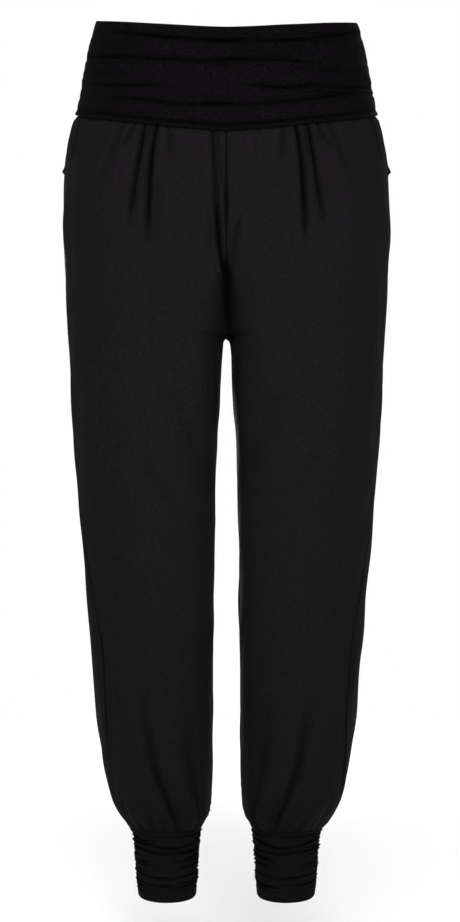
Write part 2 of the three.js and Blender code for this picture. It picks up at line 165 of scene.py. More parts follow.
def level(x, y, z):
    """How far out a point lies: 1 on the form and less inside it."""
    s = section(z)
    square = np.where(x >= s["centre"], s["out"], s["in"])
    depth = np.where(y <= s["middle"], s["ahead"], s["behind"])
    across = np.abs((x - s["centre"]) / s["half"])
    along = np.abs((y - s["middle"]) / depth)
    return (across ** square + along ** square) ** (1 / square)


NUDGE = 0.05  # the step over which the form's slopes are read


def facing_way(x, y, z, upright):
    """The way the form faces at each point. Upright, from 0 to 1, keeps it level."""
    dx = level(x + NUDGE, y, z) - level(x - NUDGE, y, z)
    dy = level(x, y + NUDGE, z) - level(x, y - NUDGE, z)
    dz = (level(x, y, z + NUDGE) - level(x, y, z - NUDGE)) * (1 - upright)
    size = np.sqrt(dx * dx + dy * dy + dz * dz)
    return np.stack([dx / size, dy / size, dz / size], axis=-1)


ARC_STEPS = 160
Z_STEP = 0.5
Z_GRID = np.arange(-990.0, 36.0, Z_STEP)
SHARE_STEPS = 240
PAST_FRONT = 0.2  # a turn past the front, where no half begins
HALVINGS = 40


def faced(face, turn):
    """A turn counted from the front for the front half, and from behind for the back half."""
    return turn if face == "front" else math.pi - turn


def start_turn(s, face, start_x):
    """The turn where a half begins: at start_x, or at the inseam where the legs are apart."""
    low = np.full_like(s["inner"], -math.pi / 2)
    high = np.full_like(low, PAST_FRONT)
    for _ in range(HALVINGS):
        mid = (low + high) / 2
        short = turn_point(s, faced(face, mid))[0] < start_x
        low, high = np.where(short, mid, low), np.where(short, high, mid)
    return faced(face, np.where(s["inner"] >= start_x, -math.pi / 2, low))


def run_lengths(s, start, end):
    """Turns from start to end on every section, and how far round the form each one lies."""
    steps = np.linspace(0, 1, ARC_STEPS + 1)
    turns = start[:, None] + (end - start)[:, None] * steps
    wide = {k: v[:, None] for k, v in s.items()}
    x, y = turn_point(wide, turns)
    pieces = np.hypot(np.diff(x), np.diff(y))
    lengths = np.concatenate([np.zeros((len(x), 1)), np.cumsum(pieces, axis=1)], axis=1)
    return turns, lengths


class Run:
    """One half of the form, laid out by share from the centre line or inseam to the side seam."""

    def __init__(self, face, start_x):
        s = section(Z_GRID)
        start = start_turn(s, face, start_x)
        turns, lengths = run_lengths(s, start, s["side"])
        inseam = -math.pi / 2 if face == "front" else 1.5 * math.pi
        cut_off = run_lengths(s, np.full_like(start, inseam), start)[1][:, -1]
        near_fork = easing((FORK_TOP - Z_GRID) / (FORK_TOP - CROTCH))
        trim = np.where(s["inner"] >= start_x, HALF_GAP, 0.0)
        self.length = lengths[:, -1]
        cut = self.length - trim - HALF_GAP
        spread = self.length + cut_off * near_fork - trim - HALF_GAP
        # The half is cut at its start, and its shares are spread over what it would be uncut.
        self.cut, self.spread = cut, spread
        shares = np.linspace(0, 1, SHARE_STEPS + 1)
        table_turns = np.empty((len(Z_GRID), len(shares)))
        for i in range(len(Z_GRID)):
            from_side = np.where(
                shares >= DRAWN_IN,
                (1 - shares) * spread[i],
                cut[i] + ((1 - DRAWN_IN) * spread[i] - cut[i]) * (shares / DRAWN_IN),
            )
            table_turns[i] = np.interp(self.length[i] - HALF_GAP - from_side, lengths[i], turns[i])
        self.turns = table_turns

    def length_at(self, z):
        """The length round the form, from the start of the half to the side seam."""
        return np.interp(z, Z_GRID, self.length)

    def spread_at(self, z):
        """The length that the shares from 0 to 1 are spread over."""
        return np.interp(z, Z_GRID, self.spread)

    def from_start(self, share, z):
        """The distance along the form from the centre line or inseam, in millimetres."""
        cut, spread = np.interp(z, Z_GRID, self.cut), self.spread_at(z)
        drawn = (cut - (1 - DRAWN_IN) * spread) * (share / DRAWN_IN)
        return np.where(share < DRAWN_IN, drawn, cut - (1 - share) * spread)

    def from_side(self, share, z):
        """The distance along the form from the side seam, in millimetres."""
        return np.interp(z, Z_GRID, self.cut) - self.from_start(share, z)

    def point(self, share, z, upright=0.0):
        """Points on the form and the way it faces there, for arrays of share and height."""
        row = np.clip((z - Z_GRID[0]) / Z_STEP, 0, len(Z_GRID) - 1.001)
        col = np.clip(share, 0, 1) * SHARE_STEPS
        r, c = row.astype(int), np.minimum(col.astype(int), SHARE_STEPS - 1)
        fr, fc = row - r, col - c
        t = self.turns
        turn = (t[r, c] * (1 - fr) * (1 - fc) + t[r + 1, c] * fr * (1 - fc)
                + t[r, c + 1] * (1 - fr) * fc + t[r + 1, c + 1] * fr * fc)
        x, y = turn_point(section(z), turn)
        at = np.stack([x, y, z + 0 * x], axis=-1)
        return at, facing_way(x, y, z, upright)


RUNS = {(face, start): Run(face, start) for face in ("front", "back") for start in (0.0, HALF_GAP)}

# The lines that fold round the waistband, from its top edge to its lower edge. Each has its
# height at centre front and back and at both sides, how late it rises, and how far it stands out.
BAND_LINES = table("front back right left late outFront outBack outRight outLeft", [
    (0, 30, 26, 23.5, 1.55, 0.2, 0.2, 0.2, 0.2),
    (-10, 21, 15, 14, 1.35, 2, 1.8, 1.2, 1.2),
    (-16.7, 12, 8.5, 9, 1.1, -1.8, -1.8, -0.9, -0.7),
    (-30, -4, -10, -10, 1.05, 2, 1.8, 1.2, 1.2),
    (-37.2, -16, -21, -25, 1.0, -2, -1.8, -1.1, -0.5),
    (-43, -21, -26, -30, 1.0, 1.5, 1.4, 0.8, 0.7),
    (-60, -34, -45, -43, 1.3, 1.5, 1.6, 1, 1.3),
    (-69, -42, -52, -50, 1.5, -0.6, -1.6, -0.9, -1.1),
    (-74, -47, -56.5, -54, 1.4, 1.1, 1.2, 0.7, 0.9),
    (-88.4, -58, -64, -60.5, 1.2, -1.6, -1.6, -0.7, -1.1),
    (-94, -63, -68, -65.5, 1.25, 1.5, 1.4, 0.9, 1.2),
    (-117.5, -84, -80.5, -81, 1.4, 0.7, 0.7, 0.7, 0.7),
])
BAND_COUNT = len(BAND_LINES["front"])
BAND_FOOT = BAND_COUNT - 1


def line_height(i, face, side, share):
    """The height of one of the band's lines at a share of the way to the side seam."""
    lines = {key: values[i] for key, values in BAND_LINES.items()}
    end = np.where(side < 0, lines["right"], lines["left"])
    return lines[face] + (end - lines[face]) * share ** lines["late"]


def line_out(i, face, side, share):
    """How far one of the band's lines stands out there."""
    start = BAND_LINES["outFront" if face == "front" else "outBack"][i]
    end = np.where(side < 0, BAND_LINES["outRight"][i], BAND_LINES["outLeft"][i])
    return start + (end - start) * easing(share)


ROLL_ROUND = 1.9  # how full a roll of the band is where it meets a sharp crease
CREASE_STEP = 1.5  # two lines that stand out more unevenly than this meet in a sharp crease


def band_out(face, side, share, z):
    """How far the waistband stands out: round rolls that meet in sharp creases."""
    out = np.zeros(np.broadcast(share, z).shape)
    for i in range(BAND_COUNT - 1):
        high, low = line_height(i, face, side, share), line_height(i + 1, face, side, share)
        t = np.clip((high - z) / (high - low), 0, 1)
        start, end = line_out(i, face, side, share), line_out(i + 1, face, side, share)
        down = 1 - (1 - t) ** ROLL_ROUND
        up = t ** ROLL_ROUND
        soft = t * t * (3 - 2 * t)
        rising = start < end - CREASE_STEP
        falling = end < start - CREASE_STEP
        shape = np.where(rising, down, np.where(falling, up, soft))
        between = (z <= high) & (z >= low) if i else z >= low
        if i == BAND_COUNT - 2:
            between = z <= high
        out = np.where(between, start + (end - start) * shape, out)
    return out


def lap_shift(face, side, share, z):
    """How far the top of a leg panel is set in, to go up inside the waistband."""
    foot = line_height(BAND_FOOT, face, side, share)
    under = band_out(face, side, share, np.maximum(z, foot)) - BAND_WALL - LAP_CLEAR
    return np.minimum(under, 0) * (1 - easing((foot - z) / LAP_FADE))


# Tucks and long folds, each through three points of height and share. Lip is how far the cloth
# stands up beside the crease, as a part of its depth.
FOLDS = {
    # side, (z, share) three times, depth, width, lip
    "front": [
        (0, (-98, 0.268), (-134, 0.242), (-164, 0.23), 1.8, 2.6, 0.4),
        (0, (-98, 0.302), (-150, 0.319), (-262, 0.322), 4.4, 2.3, 0.45),
        (RIGHT, (-165, 0.292), (-205, 0.288), (-262, 0.298), 1.4, 3.2, 0.4),
        (0, (-98, 0.36), (-157, 0.377), (-238, 0.408), 4, 2.4, 0.45),
        (0, (-98, 0.4), (-115, 0.42), (-138, 0.468), 2.2, 2.3, 0.4),
        (0, (-98, 0.465), (-150, 0.52), (-202, 0.6), 1.7, 4, 0.4),
        (RIGHT, (-102, 0.33), (-118, 0.338), (-142, 0.344), 1.5, 2.2, 0.4),
        (LEFT, (-102, 0.334), (-122, 0.345), (-160, 0.353), 1.6, 2.2, 0.4),
        (RIGHT, (-106, 0.062), (-170, 0.047), (-262, 0.026), 2.8, 2.4, 0.45),
        (RIGHT, (-186, 0.044), (-236, 0.031), (-330, 0), 5, 2.4, 0.4),
        (0, (-84, 0.757), (-116, 0.747), (-146, 0.775), 2.8, 1.5, 0.5),
        (RIGHT, (-116, 0.038), (-156, 0.03), (-188, 0.002), 1.4, 2.2, 0.3),
        (RIGHT, (-196, 0.072), (-222, 0.075), (-256, 0.08), 1, 3.2, 0.4),
        (LEFT, (-205, 0.062), (-232, 0.04), (-282, 0.01), 2, 3, 0.45),
        (0, (-381, 0.459), (-458, 0.342), (-545, 0.18), 1.5, 9, 0.35),
        (0, (-460, 0.57), (-509, 0.497), (-566, 0.445), 1.1, 8, 0.3),
        (0, (-700, 0.79), (-820, 0.645), (-904, 0.417), 4, 3, 0.45),
        (0, (-720, 0.5), (-826, 0.395), (-900, 0.22), 3.6, 4.2, 0.4),
        (0, (-840, 0.5), (-870, 0.47), (-908, 0.36), 1.6, 2.6, 0.4),
        (0, (-846, 0.88), (-880, 0.82), (-908, 0.77), 2, 2.8, 0.4),
        (0, (-872, 0.66), (-888, 0.63), (-909, 0.6), 1.6, 2.2, 0.4),
        (RIGHT, (-878, 0.53), (-892, 0.53), (-909, 0.52), 1.5, 2, 0.4),
        (LEFT, (-874, 0.74), (-890, 0.72), (-909, 0.7), 1.4, 2, 0.4),
    ],
    "back": [
        (0, (-66, 0.42), (-120, 0.45), (-176, 0.47), 4.4, 3.8, 0.45),
        (0, (-66, 0.6), (-115, 0.62), (-165, 0.66), 3.2, 3.8, 0.4),
        (0, (-66, 0.28), (-100, 0.27), (-135, 0.26), 2.4, 3.4, 0.4),
        (0, (-296, 0.12), (-322, 0.36), (-345, 0.6), 3, 8, 0.35),
        (RIGHT, (-330, 0.1), (-362, 0.3), (-392, 0.44), 2.2, 8, 0.35),
        (LEFT, (-326, 0.14), (-372, 0.26), (-420, 0.34), 2.4, 8, 0.35),
        (0, (-520, 0.22), (-600, 0.4), (-690, 0.62), 3.6, 9, 0.35),
        (0, (-600, 0.72), (-655, 0.55), (-712, 0.34), 3.2, 8.5, 0.35),
        (0, (-690, 0.8), (-800, 0.66), (-904, 0.52), 4.6, 6, 0.45),
        (0, (-760, 0.42), (-840, 0.36), (-908, 0.3), 3.8, 5.5, 0.4),
        (0, (-800, 0.24), (-860, 0.2), (-906, 0.16), 2.6, 4.6, 0.4),
        (0, (-836, 0.86), (-878, 0.82), (-908, 0.78), 2.4, 4.6, 0.4),
        (0, (-862, 0.62), (-886, 0.6), (-909, 0.62), 1.8, 3.6, 0.4),
    ],
}
UNDER_BAND = -130.0  # folds that start above this height come out from under the waistband
INTO_CUFF = -600.0  # folds that start below this height run down into a cuff
FADE_IN, FADE_OUT = 5.0, 2.6  # how fast a fold deepens at its start and runs out at its end
CUFF_FADE_IN, CUFF_FADE_OUT = 1.6, 6.0  # the same for the folds into a cuff
HELD = 0.4  # a fold has this head start where it is held in a seam
FOLD_OPEN = 0.7  # a fold is this much wider at its far end than where it starts
ANKLE_FOLD_OPEN = 2.0  # the same for the folds that run down into a cuff
LIP_AT, LIP_WIDE = 2.3, 1.3  # where a fold's lips stand, and how wide they are, in its widths
DARK_SLOPE = 1.4  # a fold this much deeper than wide is in full shade at its bottom
DARK_NARROW = 1.1  # the shade is this much narrower than the fold


def fold_out(face, side, share, z, length):
    """How far the folds push the cloth in or out, and how much shade is painted into each point's colour."""
    out, shade = np.zeros_like(z), np.zeros_like(z)
    for on, a, b, c, depth, width, lip in FOLDS[face]:
        if on and on != side:
            continue
        along = (a[0] - z) / (a[0] - c[0])
        if a[0] < INTO_CUFF:
            start = easing(along * CUFF_FADE_IN)
            end = easing((1 - along) * CUFF_FADE_OUT + HELD)
            opened = 1 + ANKLE_FOLD_OPEN * (1 - along)
        else:
            start = easing(along * FADE_IN + (HELD if a[0] > UNDER_BAND else 0))
            end = easing((1 - along) * FADE_OUT)
            opened = 1 + FOLD_OPEN * along
        opened = np.clip(opened, 1, 1 + ANKLE_FOLD_OPEN)
        middle = curve([a[0], b[0], c[0]], [a[1], b[1], c[1]])(z)
        off = (share - middle) * length / (width * opened)
        lips = bell((off - LIP_AT) / LIP_WIDE) + bell((off + LIP_AT) / LIP_WIDE)
        here = np.where((along >= 0) & (along <= 1), depth * start * end, 0)
        out -= here * (bell(off) - lip * lips)
        shade = np.maximum(shade, here / (width * opened * DARK_SLOPE) * bell(off * DARK_NARROW))
    return out, np.clip(shade, 0, 1)


def waves(a, b, seed, count=9, low=0.6, high=1.6):
    """A smooth uneven field over two coordinates, made of a few sine waves, about -1 to 1."""
    rng = np.random.default_rng(seed)
    total = np.zeros(np.broadcast(a, b).shape)
    for _ in range(count):
        fa, fb = rng.uniform(low, high, 2) * rng.choice([-1, 1], 2)
        total = total + np.sin(a * fa * 2 * math.pi + b * fb * 2 * math.pi + rng.uniform(0, 2 * math.pi))
    return total / math.sqrt(count) / 1.4


# Ripples: how long they are across and down, how high, and, where they are close together, how
# many waves make them and how much these may differ in length.
LONG_RIPPLES = (46, 320, 0.55)
SOFT_DENTS = (95, 120, 0.7)
BAND_RIPPLES = (13, 160, 0.35)
FINE_PUCKERS = (6.0, 90, 1.3, 6, 0.75, 1.3)
BROAD_PUCKERS = (17.0, 130, 1.5, 5, 0.7, 1.3)
BAND_RIPPLES_AT, BAND_RIPPLES_REACH = -118, 26
FINE_REACH, BROAD_REACH = 9.0, 26.0  # how far the puckers run up from the cuff
PUCKER_RIM = 5.0  # in the last stretch above the cuff they run out


def ripples(u, z, seed, sizes):
    """A field of ripples of the sizes given, in millimetres."""
    across, down, high, *spread = sizes
    return waves(u / across, z / down, seed, *spread) * high


def drape(u, z, seed):
    """The faint unevenness of hanging jersey, mostly in long upright ripples."""
    long_ripples = ripples(u, z, seed, LONG_RIPPLES)
    soft_dents = ripples(u, z, seed + 1, SOFT_DENTS)
    near_band = bell((z - BAND_RIPPLES_AT) / BAND_RIPPLES_REACH)
    return long_ripples + soft_dents + near_band * ripples(u, z, seed + 2, BAND_RIPPLES)


def ankle_gathers(u, z, seed):
    """Small puckers where the leg's fullness is gathered into the cuff."""
    rise = z - ANKLE
    fine = ripples(u, z, seed, FINE_PUCKERS) * np.exp(-rise / FINE_REACH)
    broad = ripples(u, z, seed + 3, BROAD_PUCKERS) * np.exp(-rise / BROAD_REACH)
    return (fine + broad) * np.clip(rise / PUCKER_RIM, 0, 1)


SEAM_WIDE = 1.1
ALLOWANCE_AT, ALLOWANCE_WIDE = 3.4, 2.0  # the doubled cloth beside a seam


def seam_shape(distance, depth, ridge):
    """A sewn edge: the cloth dips into the seam and lies thicker over the seam allowance."""
    allowance = bell((distance - ALLOWANCE_AT) / ALLOWANCE_WIDE)
    return ridge * allowance - depth * bell(distance / SEAM_WIDE)


POCKET_FOOT = -149.0
POCKET_TOP = -81.0
POCKET_SLANT = 42.0  # the top of the pocket mouth lies this far in front of the side seam
MOUTH_CURVE = 0.7
MOUTH_FROM = 0.57  # the front panel's columns past this share draw in to end at the mouth


def mouth_offset(z):
    """How far the edge of the pocket mouth lies in front of the side seam."""
    t = np.clip((z - POCKET_FOOT) / (POCKET_TOP - POCKET_FOOT), 0, 1.2)
    return POCKET_SLANT * t ** MOUTH_CURVE


SEAM_FADE_FROM = 10.0
SEAM_FADE_TO = -262.0


def row_height(face, side, base, share):
    """The height of a panel's row: along the waistband's foot at the top, level lower down."""
    start = line_height(BAND_FOOT, face, side, 0.0)
    rise = line_height(BAND_FOOT, face, side, share) - start
    fade = 1 - easing((start - SEAM_FADE_FROM - base) / (start - SEAM_FADE_FROM - SEAM_FADE_TO))
    return base + rise * fade


SHARP = 62  # edges that turn more than this, in degrees, are drawn sharp


def shell_piece(name, outer, inner, flip, uv, shade, material):
    """A closed thin shell from a grid of outer points and one of inner points, in millimetres, with the
    shade painted into its colour at each point kept as an attribute.
    """
    rows, cols = outer.shape[:2]
    verts = np.concatenate([outer.reshape(-1, 3), inner.reshape(-1, 3)]) * MM
    grid = np.arange(rows * cols).reshape(rows, cols)
    under = grid + rows * cols
    faces = [
        np.stack([grid[:-1, :-1], grid[1:, :-1], grid[1:, 1:], grid[:-1, 1:]], -1),
        np.stack([under[:-1, :-1], under[:-1, 1:], under[1:, 1:], under[1:, :-1]], -1),
    ]
    edges = [
        (under[0], grid[0]), (grid[-1], under[-1]), (grid[:, 0], under[:, 0]),
        (under[:, -1], grid[:, -1]),
    ]
    faces += [np.stack([a[:-1], b[:-1], b[1:], a[1:]], -1) for a, b in edges]
    quads = np.concatenate([quad.reshape(-1, 4) for quad in faces])
    if flip:
        quads = quads[:, ::-1]
    mesh = bpy.data.meshes.new(name)
    mesh.vertices.add(len(verts))
    mesh.vertices.foreach_set("co", verts.astype(np.float32).ravel())
    mesh.loops.add(quads.size)
    mesh.loops.foreach_set("vertex_index", quads.astype(np.int32).ravel())
    mesh.polygons.add(len(quads))
    mesh.polygons.foreach_set("loop_start", np.arange(0, quads.size, 4, dtype=np.int32))
    layer = mesh.uv_layers.new(name="cloth")
    flat_uv = np.concatenate([uv.reshape(-1, 2)] * 2) * MM
    layer.data.foreach_set("uv", flat_uv[quads.ravel()].astype(np.float32).ravel())
    # The shade painted into the colour at each point: creases, folds, seams, puckers, the knot and the fold
    # between the legs.
    painted_shade = mesh.attributes.new("painted_shade", "FLOAT", "POINT")
    painted_shade.data.foreach_set("value", np.tile(np.clip(shade, 0, 1).ravel(), 2).astype(np.float32))
    mesh.update(calc_edges=True)
    mesh.validate()
    mesh.polygons.foreach_set("use_smooth", np.ones(len(mesh.polygons), dtype=bool))
    mesh.set_sharp_from_angle(angle=math.radians(SHARP))
    mesh.materials.append(material)
    obj = bpy.data.objects.new(name, mesh)
    bpy.context.collection.objects.link(obj)
    return obj


def sided(points, side):
    """The points, mirrored to the right side where side is -1."""
    return points * np.array([side, 1, 1])


def spaced(start, end, step):
    """Positions from start to end, about step apart."""
    return np.linspace(start, end, 1 + max(1, int(round(abs(end - start) / step))))


def spans(rows):
    """Positions along several stretches, each with its own step."""
    return np.concatenate([spaced(start, end, step) for start, end, step in rows])


# The deep fold between the legs in front, from the end of the centre seam past the fork, and the shade
# painted in it.
CLEFT = table("z depth inside width dark", [
    (-252, 0, 0, 2.4, 0), (-262, 3, 0, 3, 0.85), (-271, 9, 0, 5, 1), (-281, 17, 0, 7, 1),
    (-297, 24, 0, 8.6, 1), (-313, 27, 0.6, 10, 1), (-328, 26, 2, 10.2, 1), (-339, 20, 3.7, 10.4, 1),
    (-346, 15, 4.8, 10, 0.75), (-372, 7, 6.1, 8.4, 0.66), (-405, 3.5, 7.7, 6.4, 0.55),
    (-436, 0, 10, 5.4, 0.1), (-446, 0, 10.5, 5, 0),
])
CLEFT_KEYS = ("depth", "inside", "width", "dark")
CLEFT_REACH = 40.0  # the fold takes this much of the leg's depth, behind its front
CLEFT_SIDE = 3  # how steep the sides of the fold are
CLEFT_DARK_SIDE = 8  # and those of its shade


def cleft(at, z):
    """How far the front is set back in the fold between the legs, and the shade painted into the colour
    there.
    """
    depth, inside, width, dark = (curve(CLEFT["z"], CLEFT[key])(z) for key in CLEFT_KEYS)
    from_centre = np.maximum(at[..., 0] - inside, 0) / width
    ahead = np.clip((middle_at(z) - at[..., 1]) / CLEFT_REACH, 0, 1)
    return depth * ahead * np.exp(-from_centre ** CLEFT_SIDE), dark * np.exp(-from_centre ** CLEFT_DARK_SIDE)


# The rows of a panel from the top down, and its columns from the inseam out: from, to, step.
BAND_ROWS_END, BAND_ROW_STEP = -136, 1.6
PANEL_ROWS = [
    (-138.5, -262, 2.6), (-264, -320, 2.2), (-322, -332, 1.4), (-332.6, -345, 0.6),
    (-346, -362, 2.0), (-365, -690, 5.0), (-694, -860, 3.4),
]
CUFF_ROWS_START, CUFF_ROW_STEP = -862, 1.5
LAST_ROW = 0.6
PANEL_COLUMNS = {
    "front": [
        (0.006, 0.1, 0.0055), (0.108, 0.24, 0.011), (0.246, 0.5, 0.0062), (0.51, 0.75, 0.0115),
        (0.757, 0.994, 0.0066),
    ],
    "back": [(0.006, 0.05, 0.007), (0.062, 0.94, 0.0125), (0.95, 0.994, 0.008)],
}
FIRST_COLUMNS = [0, 0.002]
LAST_COLUMNS = [0.998, 1]


def panel_grid(face, side):
    """The heights and shares of a panel's points, before the pocket mouth draws them in."""
    top = float(line_height(BAND_FOOT, face, side, 0.0)) + LAP
    foot = ANKLE + HALF_GAP
    bases = np.concatenate([
        spaced(top, BAND_ROWS_END, BAND_ROW_STEP), spans(PANEL_ROWS),
        spaced(CUFF_ROWS_START, foot + LAST_ROW, CUFF_ROW_STEP), [foot],
    ])
    shares = np.concatenate([FIRST_COLUMNS, spans(PANEL_COLUMNS[face]), LAST_COLUMNS])
    base, share = np.meshgrid(bases, shares, indexing="ij")
    return row_height(face, side, base, share), share


# Seams: how deep they dip, how high the cloth beside them stands, and how dark their painted shade is.
INSEAM = (1.1, 0.4)
INSEAM_SHADE = 0.85
SIDE_SEAM = (0.9, 0.55)
SIDE_SEAM_SHADE = 0.6
SEAM_SHADE_WIDE = 0.9
GATHER_SHADE = 0.5
GATHER_DEEP = 1.6  # puckers this deep are in full shade
STILL_ABOVE_CUFF = 40.0  # the drape fades in over this height above the ankle's gathers
# The centre seam is pulled in most at this height.
PULL_AT, PULL_TALL, PULL_WIDE = -196, 26, 2.4
PULL_DEEP, PULL_SHADE = 1.6, 0.9
# The pocket mouth is a turned edge with a row of stitching in from it.
TURNED_WIDE, TURNED_SOFT, TURNED_HIGH = 8.5, 2.0, 0.5
STITCH_IN, STITCH_WIDE, STITCH_DEEP, STITCH_SHADE = 7.2, 0.8, 0.9, 0.7
MOUTH_ROUNDED = 0.9
# Low on the leg the front stands up beside its seam, and behind it the back, which turns away, is painted in
# shade.
LOW_LEG, LOW_LEG_FADE, CUFF_FADE = -560, 80, 20
STANDS_AT, STANDS_WIDE, STANDS_HIGH = 2.8, 1.4, 0.6
SHADE_BEHIND_SEAM_REACH, PAINTED_SHADE_BEHIND_SEAM = 22.0, 0.5
# The bar tack at the foot of the pocket mouth stands out as a small knot, painted dark.
TACK_HIGH, TACK_UP, TACK_TALL, TACK_WIDE, TACK_SHADE = 4.4, 1.5, 3.0, 5.0, 1.6
HELD_UNDER_BAND, HELD_FADE = 3.0, 6.0


def panel_relief(face, side, share, z, run, mouth, seed):
    """How far a panel's cloth stands out from the form, and how much shade is painted into each point's
    colour.
    """
    from_start = run.from_start(share, z)
    from_side = run.from_side(share, z)
    from_edge = from_side - mouth
    in_mouth = mouth > 0
    low_leg = easing((LOW_LEG - z) / LOW_LEG_FADE) * easing((z - ANKLE) / CUFF_FADE)
    out, shade = fold_out(face, side, share, z, run.spread_at(z))
    out += drape(from_side, z, seed) * easing((z - ANKLE - STILL_ABOVE_CUFF) / STILL_ABOVE_CUFF)
    gathers = ankle_gathers(from_side, z, seed + 50)
    out += gathers
    shade = np.maximum(shade, GATHER_SHADE * np.clip(-gathers / GATHER_DEEP, 0, 1))
    out += seam_shape(from_start, *INSEAM)
    shade = np.maximum(shade, INSEAM_SHADE * bell(from_start / SEAM_SHADE_WIDE))
    out += np.where(in_mouth, 0, seam_shape(from_edge, *SIDE_SEAM))
    side_seam = np.where(in_mouth, 0, bell(from_edge / SEAM_SHADE_WIDE))
    shade = np.maximum(shade, SIDE_SEAM_SHADE * side_seam)
    if face == "front":
        pulled = bell((z - PULL_AT) / PULL_TALL) * bell(from_start / PULL_WIDE)
        out -= PULL_DEEP * pulled
        shade = np.maximum(shade, PULL_SHADE * pulled)
        turned = TURNED_HIGH * easing((TURNED_WIDE - from_edge) / TURNED_SOFT)
        stitched = bell((from_edge - STITCH_IN) / STITCH_WIDE)
        rounded = MOUTH_ROUNDED * bell(from_edge / MOUTH_ROUNDED)
        stands = STANDS_HIGH * bell((from_edge - STANDS_AT) / STANDS_WIDE) * low_leg
        out += np.where(in_mouth, turned - STITCH_DEEP * stitched - rounded, stands)
        shade = np.maximum(shade, np.where(in_mouth, STITCH_SHADE * stitched, 0))
    else:
        behind = low_leg * np.exp(-(from_side / SHADE_BEHIND_SEAM_REACH) ** 4)
        shade = np.maximum(shade, PAINTED_SHADE_BEHIND_SEAM * behind)
    tack = bell((z - POCKET_FOOT - TACK_UP) / TACK_TALL) * bell(from_edge / TACK_WIDE)
    out += TACK_HIGH * tack
    shade = np.maximum(shade, np.clip(TACK_SHADE * tack, 0, 1))
    foot = line_height(BAND_FOOT, face, side, share)
    return out * easing((foot + HELD_UNDER_BAND - z) / HELD_FADE), shade


PANEL_SEEDS = {("front", RIGHT): 10, ("front", LEFT): 15, ("back", RIGHT): 30, ("back", LEFT): 35}
LEVEL_FROM, LEVEL_OVER = -878, 10  # above the cuff seam the cloth is thick in level directions
MEET_FADE = 26.0
MEET_REACH = 5.0


def leg_panel(face, side, material):
    """The front or the back of one leg, from inside the waistband down to its cuff."""
    side_name = "right" if side < 0 else "left"
    run = RUNS[face, HALF_GAP]
    z, share = panel_grid(face, side)
    mouth = np.zeros_like(z)
    if face == "front":
        mouth = mouth_offset(z)
        limit = 1 - mouth / run.spread_at(z)
        squeezed = MOUTH_FROM + (share - MOUTH_FROM) * (limit - MOUTH_FROM) / (1 - MOUTH_FROM)
        share = np.where(share > MOUTH_FROM, squeezed, share)
    at, way = run.point(share, z, easing((LEVEL_FROM - z) / LEVEL_OVER))
    out, shade = panel_relief(face, side, share, z, run, mouth, PANEL_SEEDS[face, side])
    out += lap_shift(face, side, share, z)
    if face == "front":
        # The fold between the legs: set back, with its shade painted into the colour.
        set_back, dark = cleft(at, z)
        at[..., 1] += set_back
        shade = np.maximum(shade, dark)
    outer = at + way * out[..., None]
    inner = at + way * (out - CLOTH)[..., None]
    # Above the fork the two halves meet at the centre seam, however deep the folds beside it.
    edge = np.where(z > CROTCH, HALF_GAP, np.maximum(gap_at(z), HALF_GAP))
    near_start = np.exp(-run.from_start(share, z) / MEET_REACH)
    meet = (edge - outer[..., :1, 0]) * near_start * easing((z - CROTCH + MEET_FADE) / MEET_FADE)
    outer[..., 0] += meet
    inner[..., 0] += meet
    inner[..., 0] = np.where(z > CROTCH, np.maximum(inner[..., 0], HALF_GAP), inner[..., 0])
    outer, inner = sided(outer, side), sided(inner, side)
    uv = np.stack([run.from_side(share, z) * side, z], axis=-1)
    flip = (face == "back") != (side < 0)
    return shell_piece(f"{face}_{side_name}_panel", outer, inner, flip, uv, shade, material)


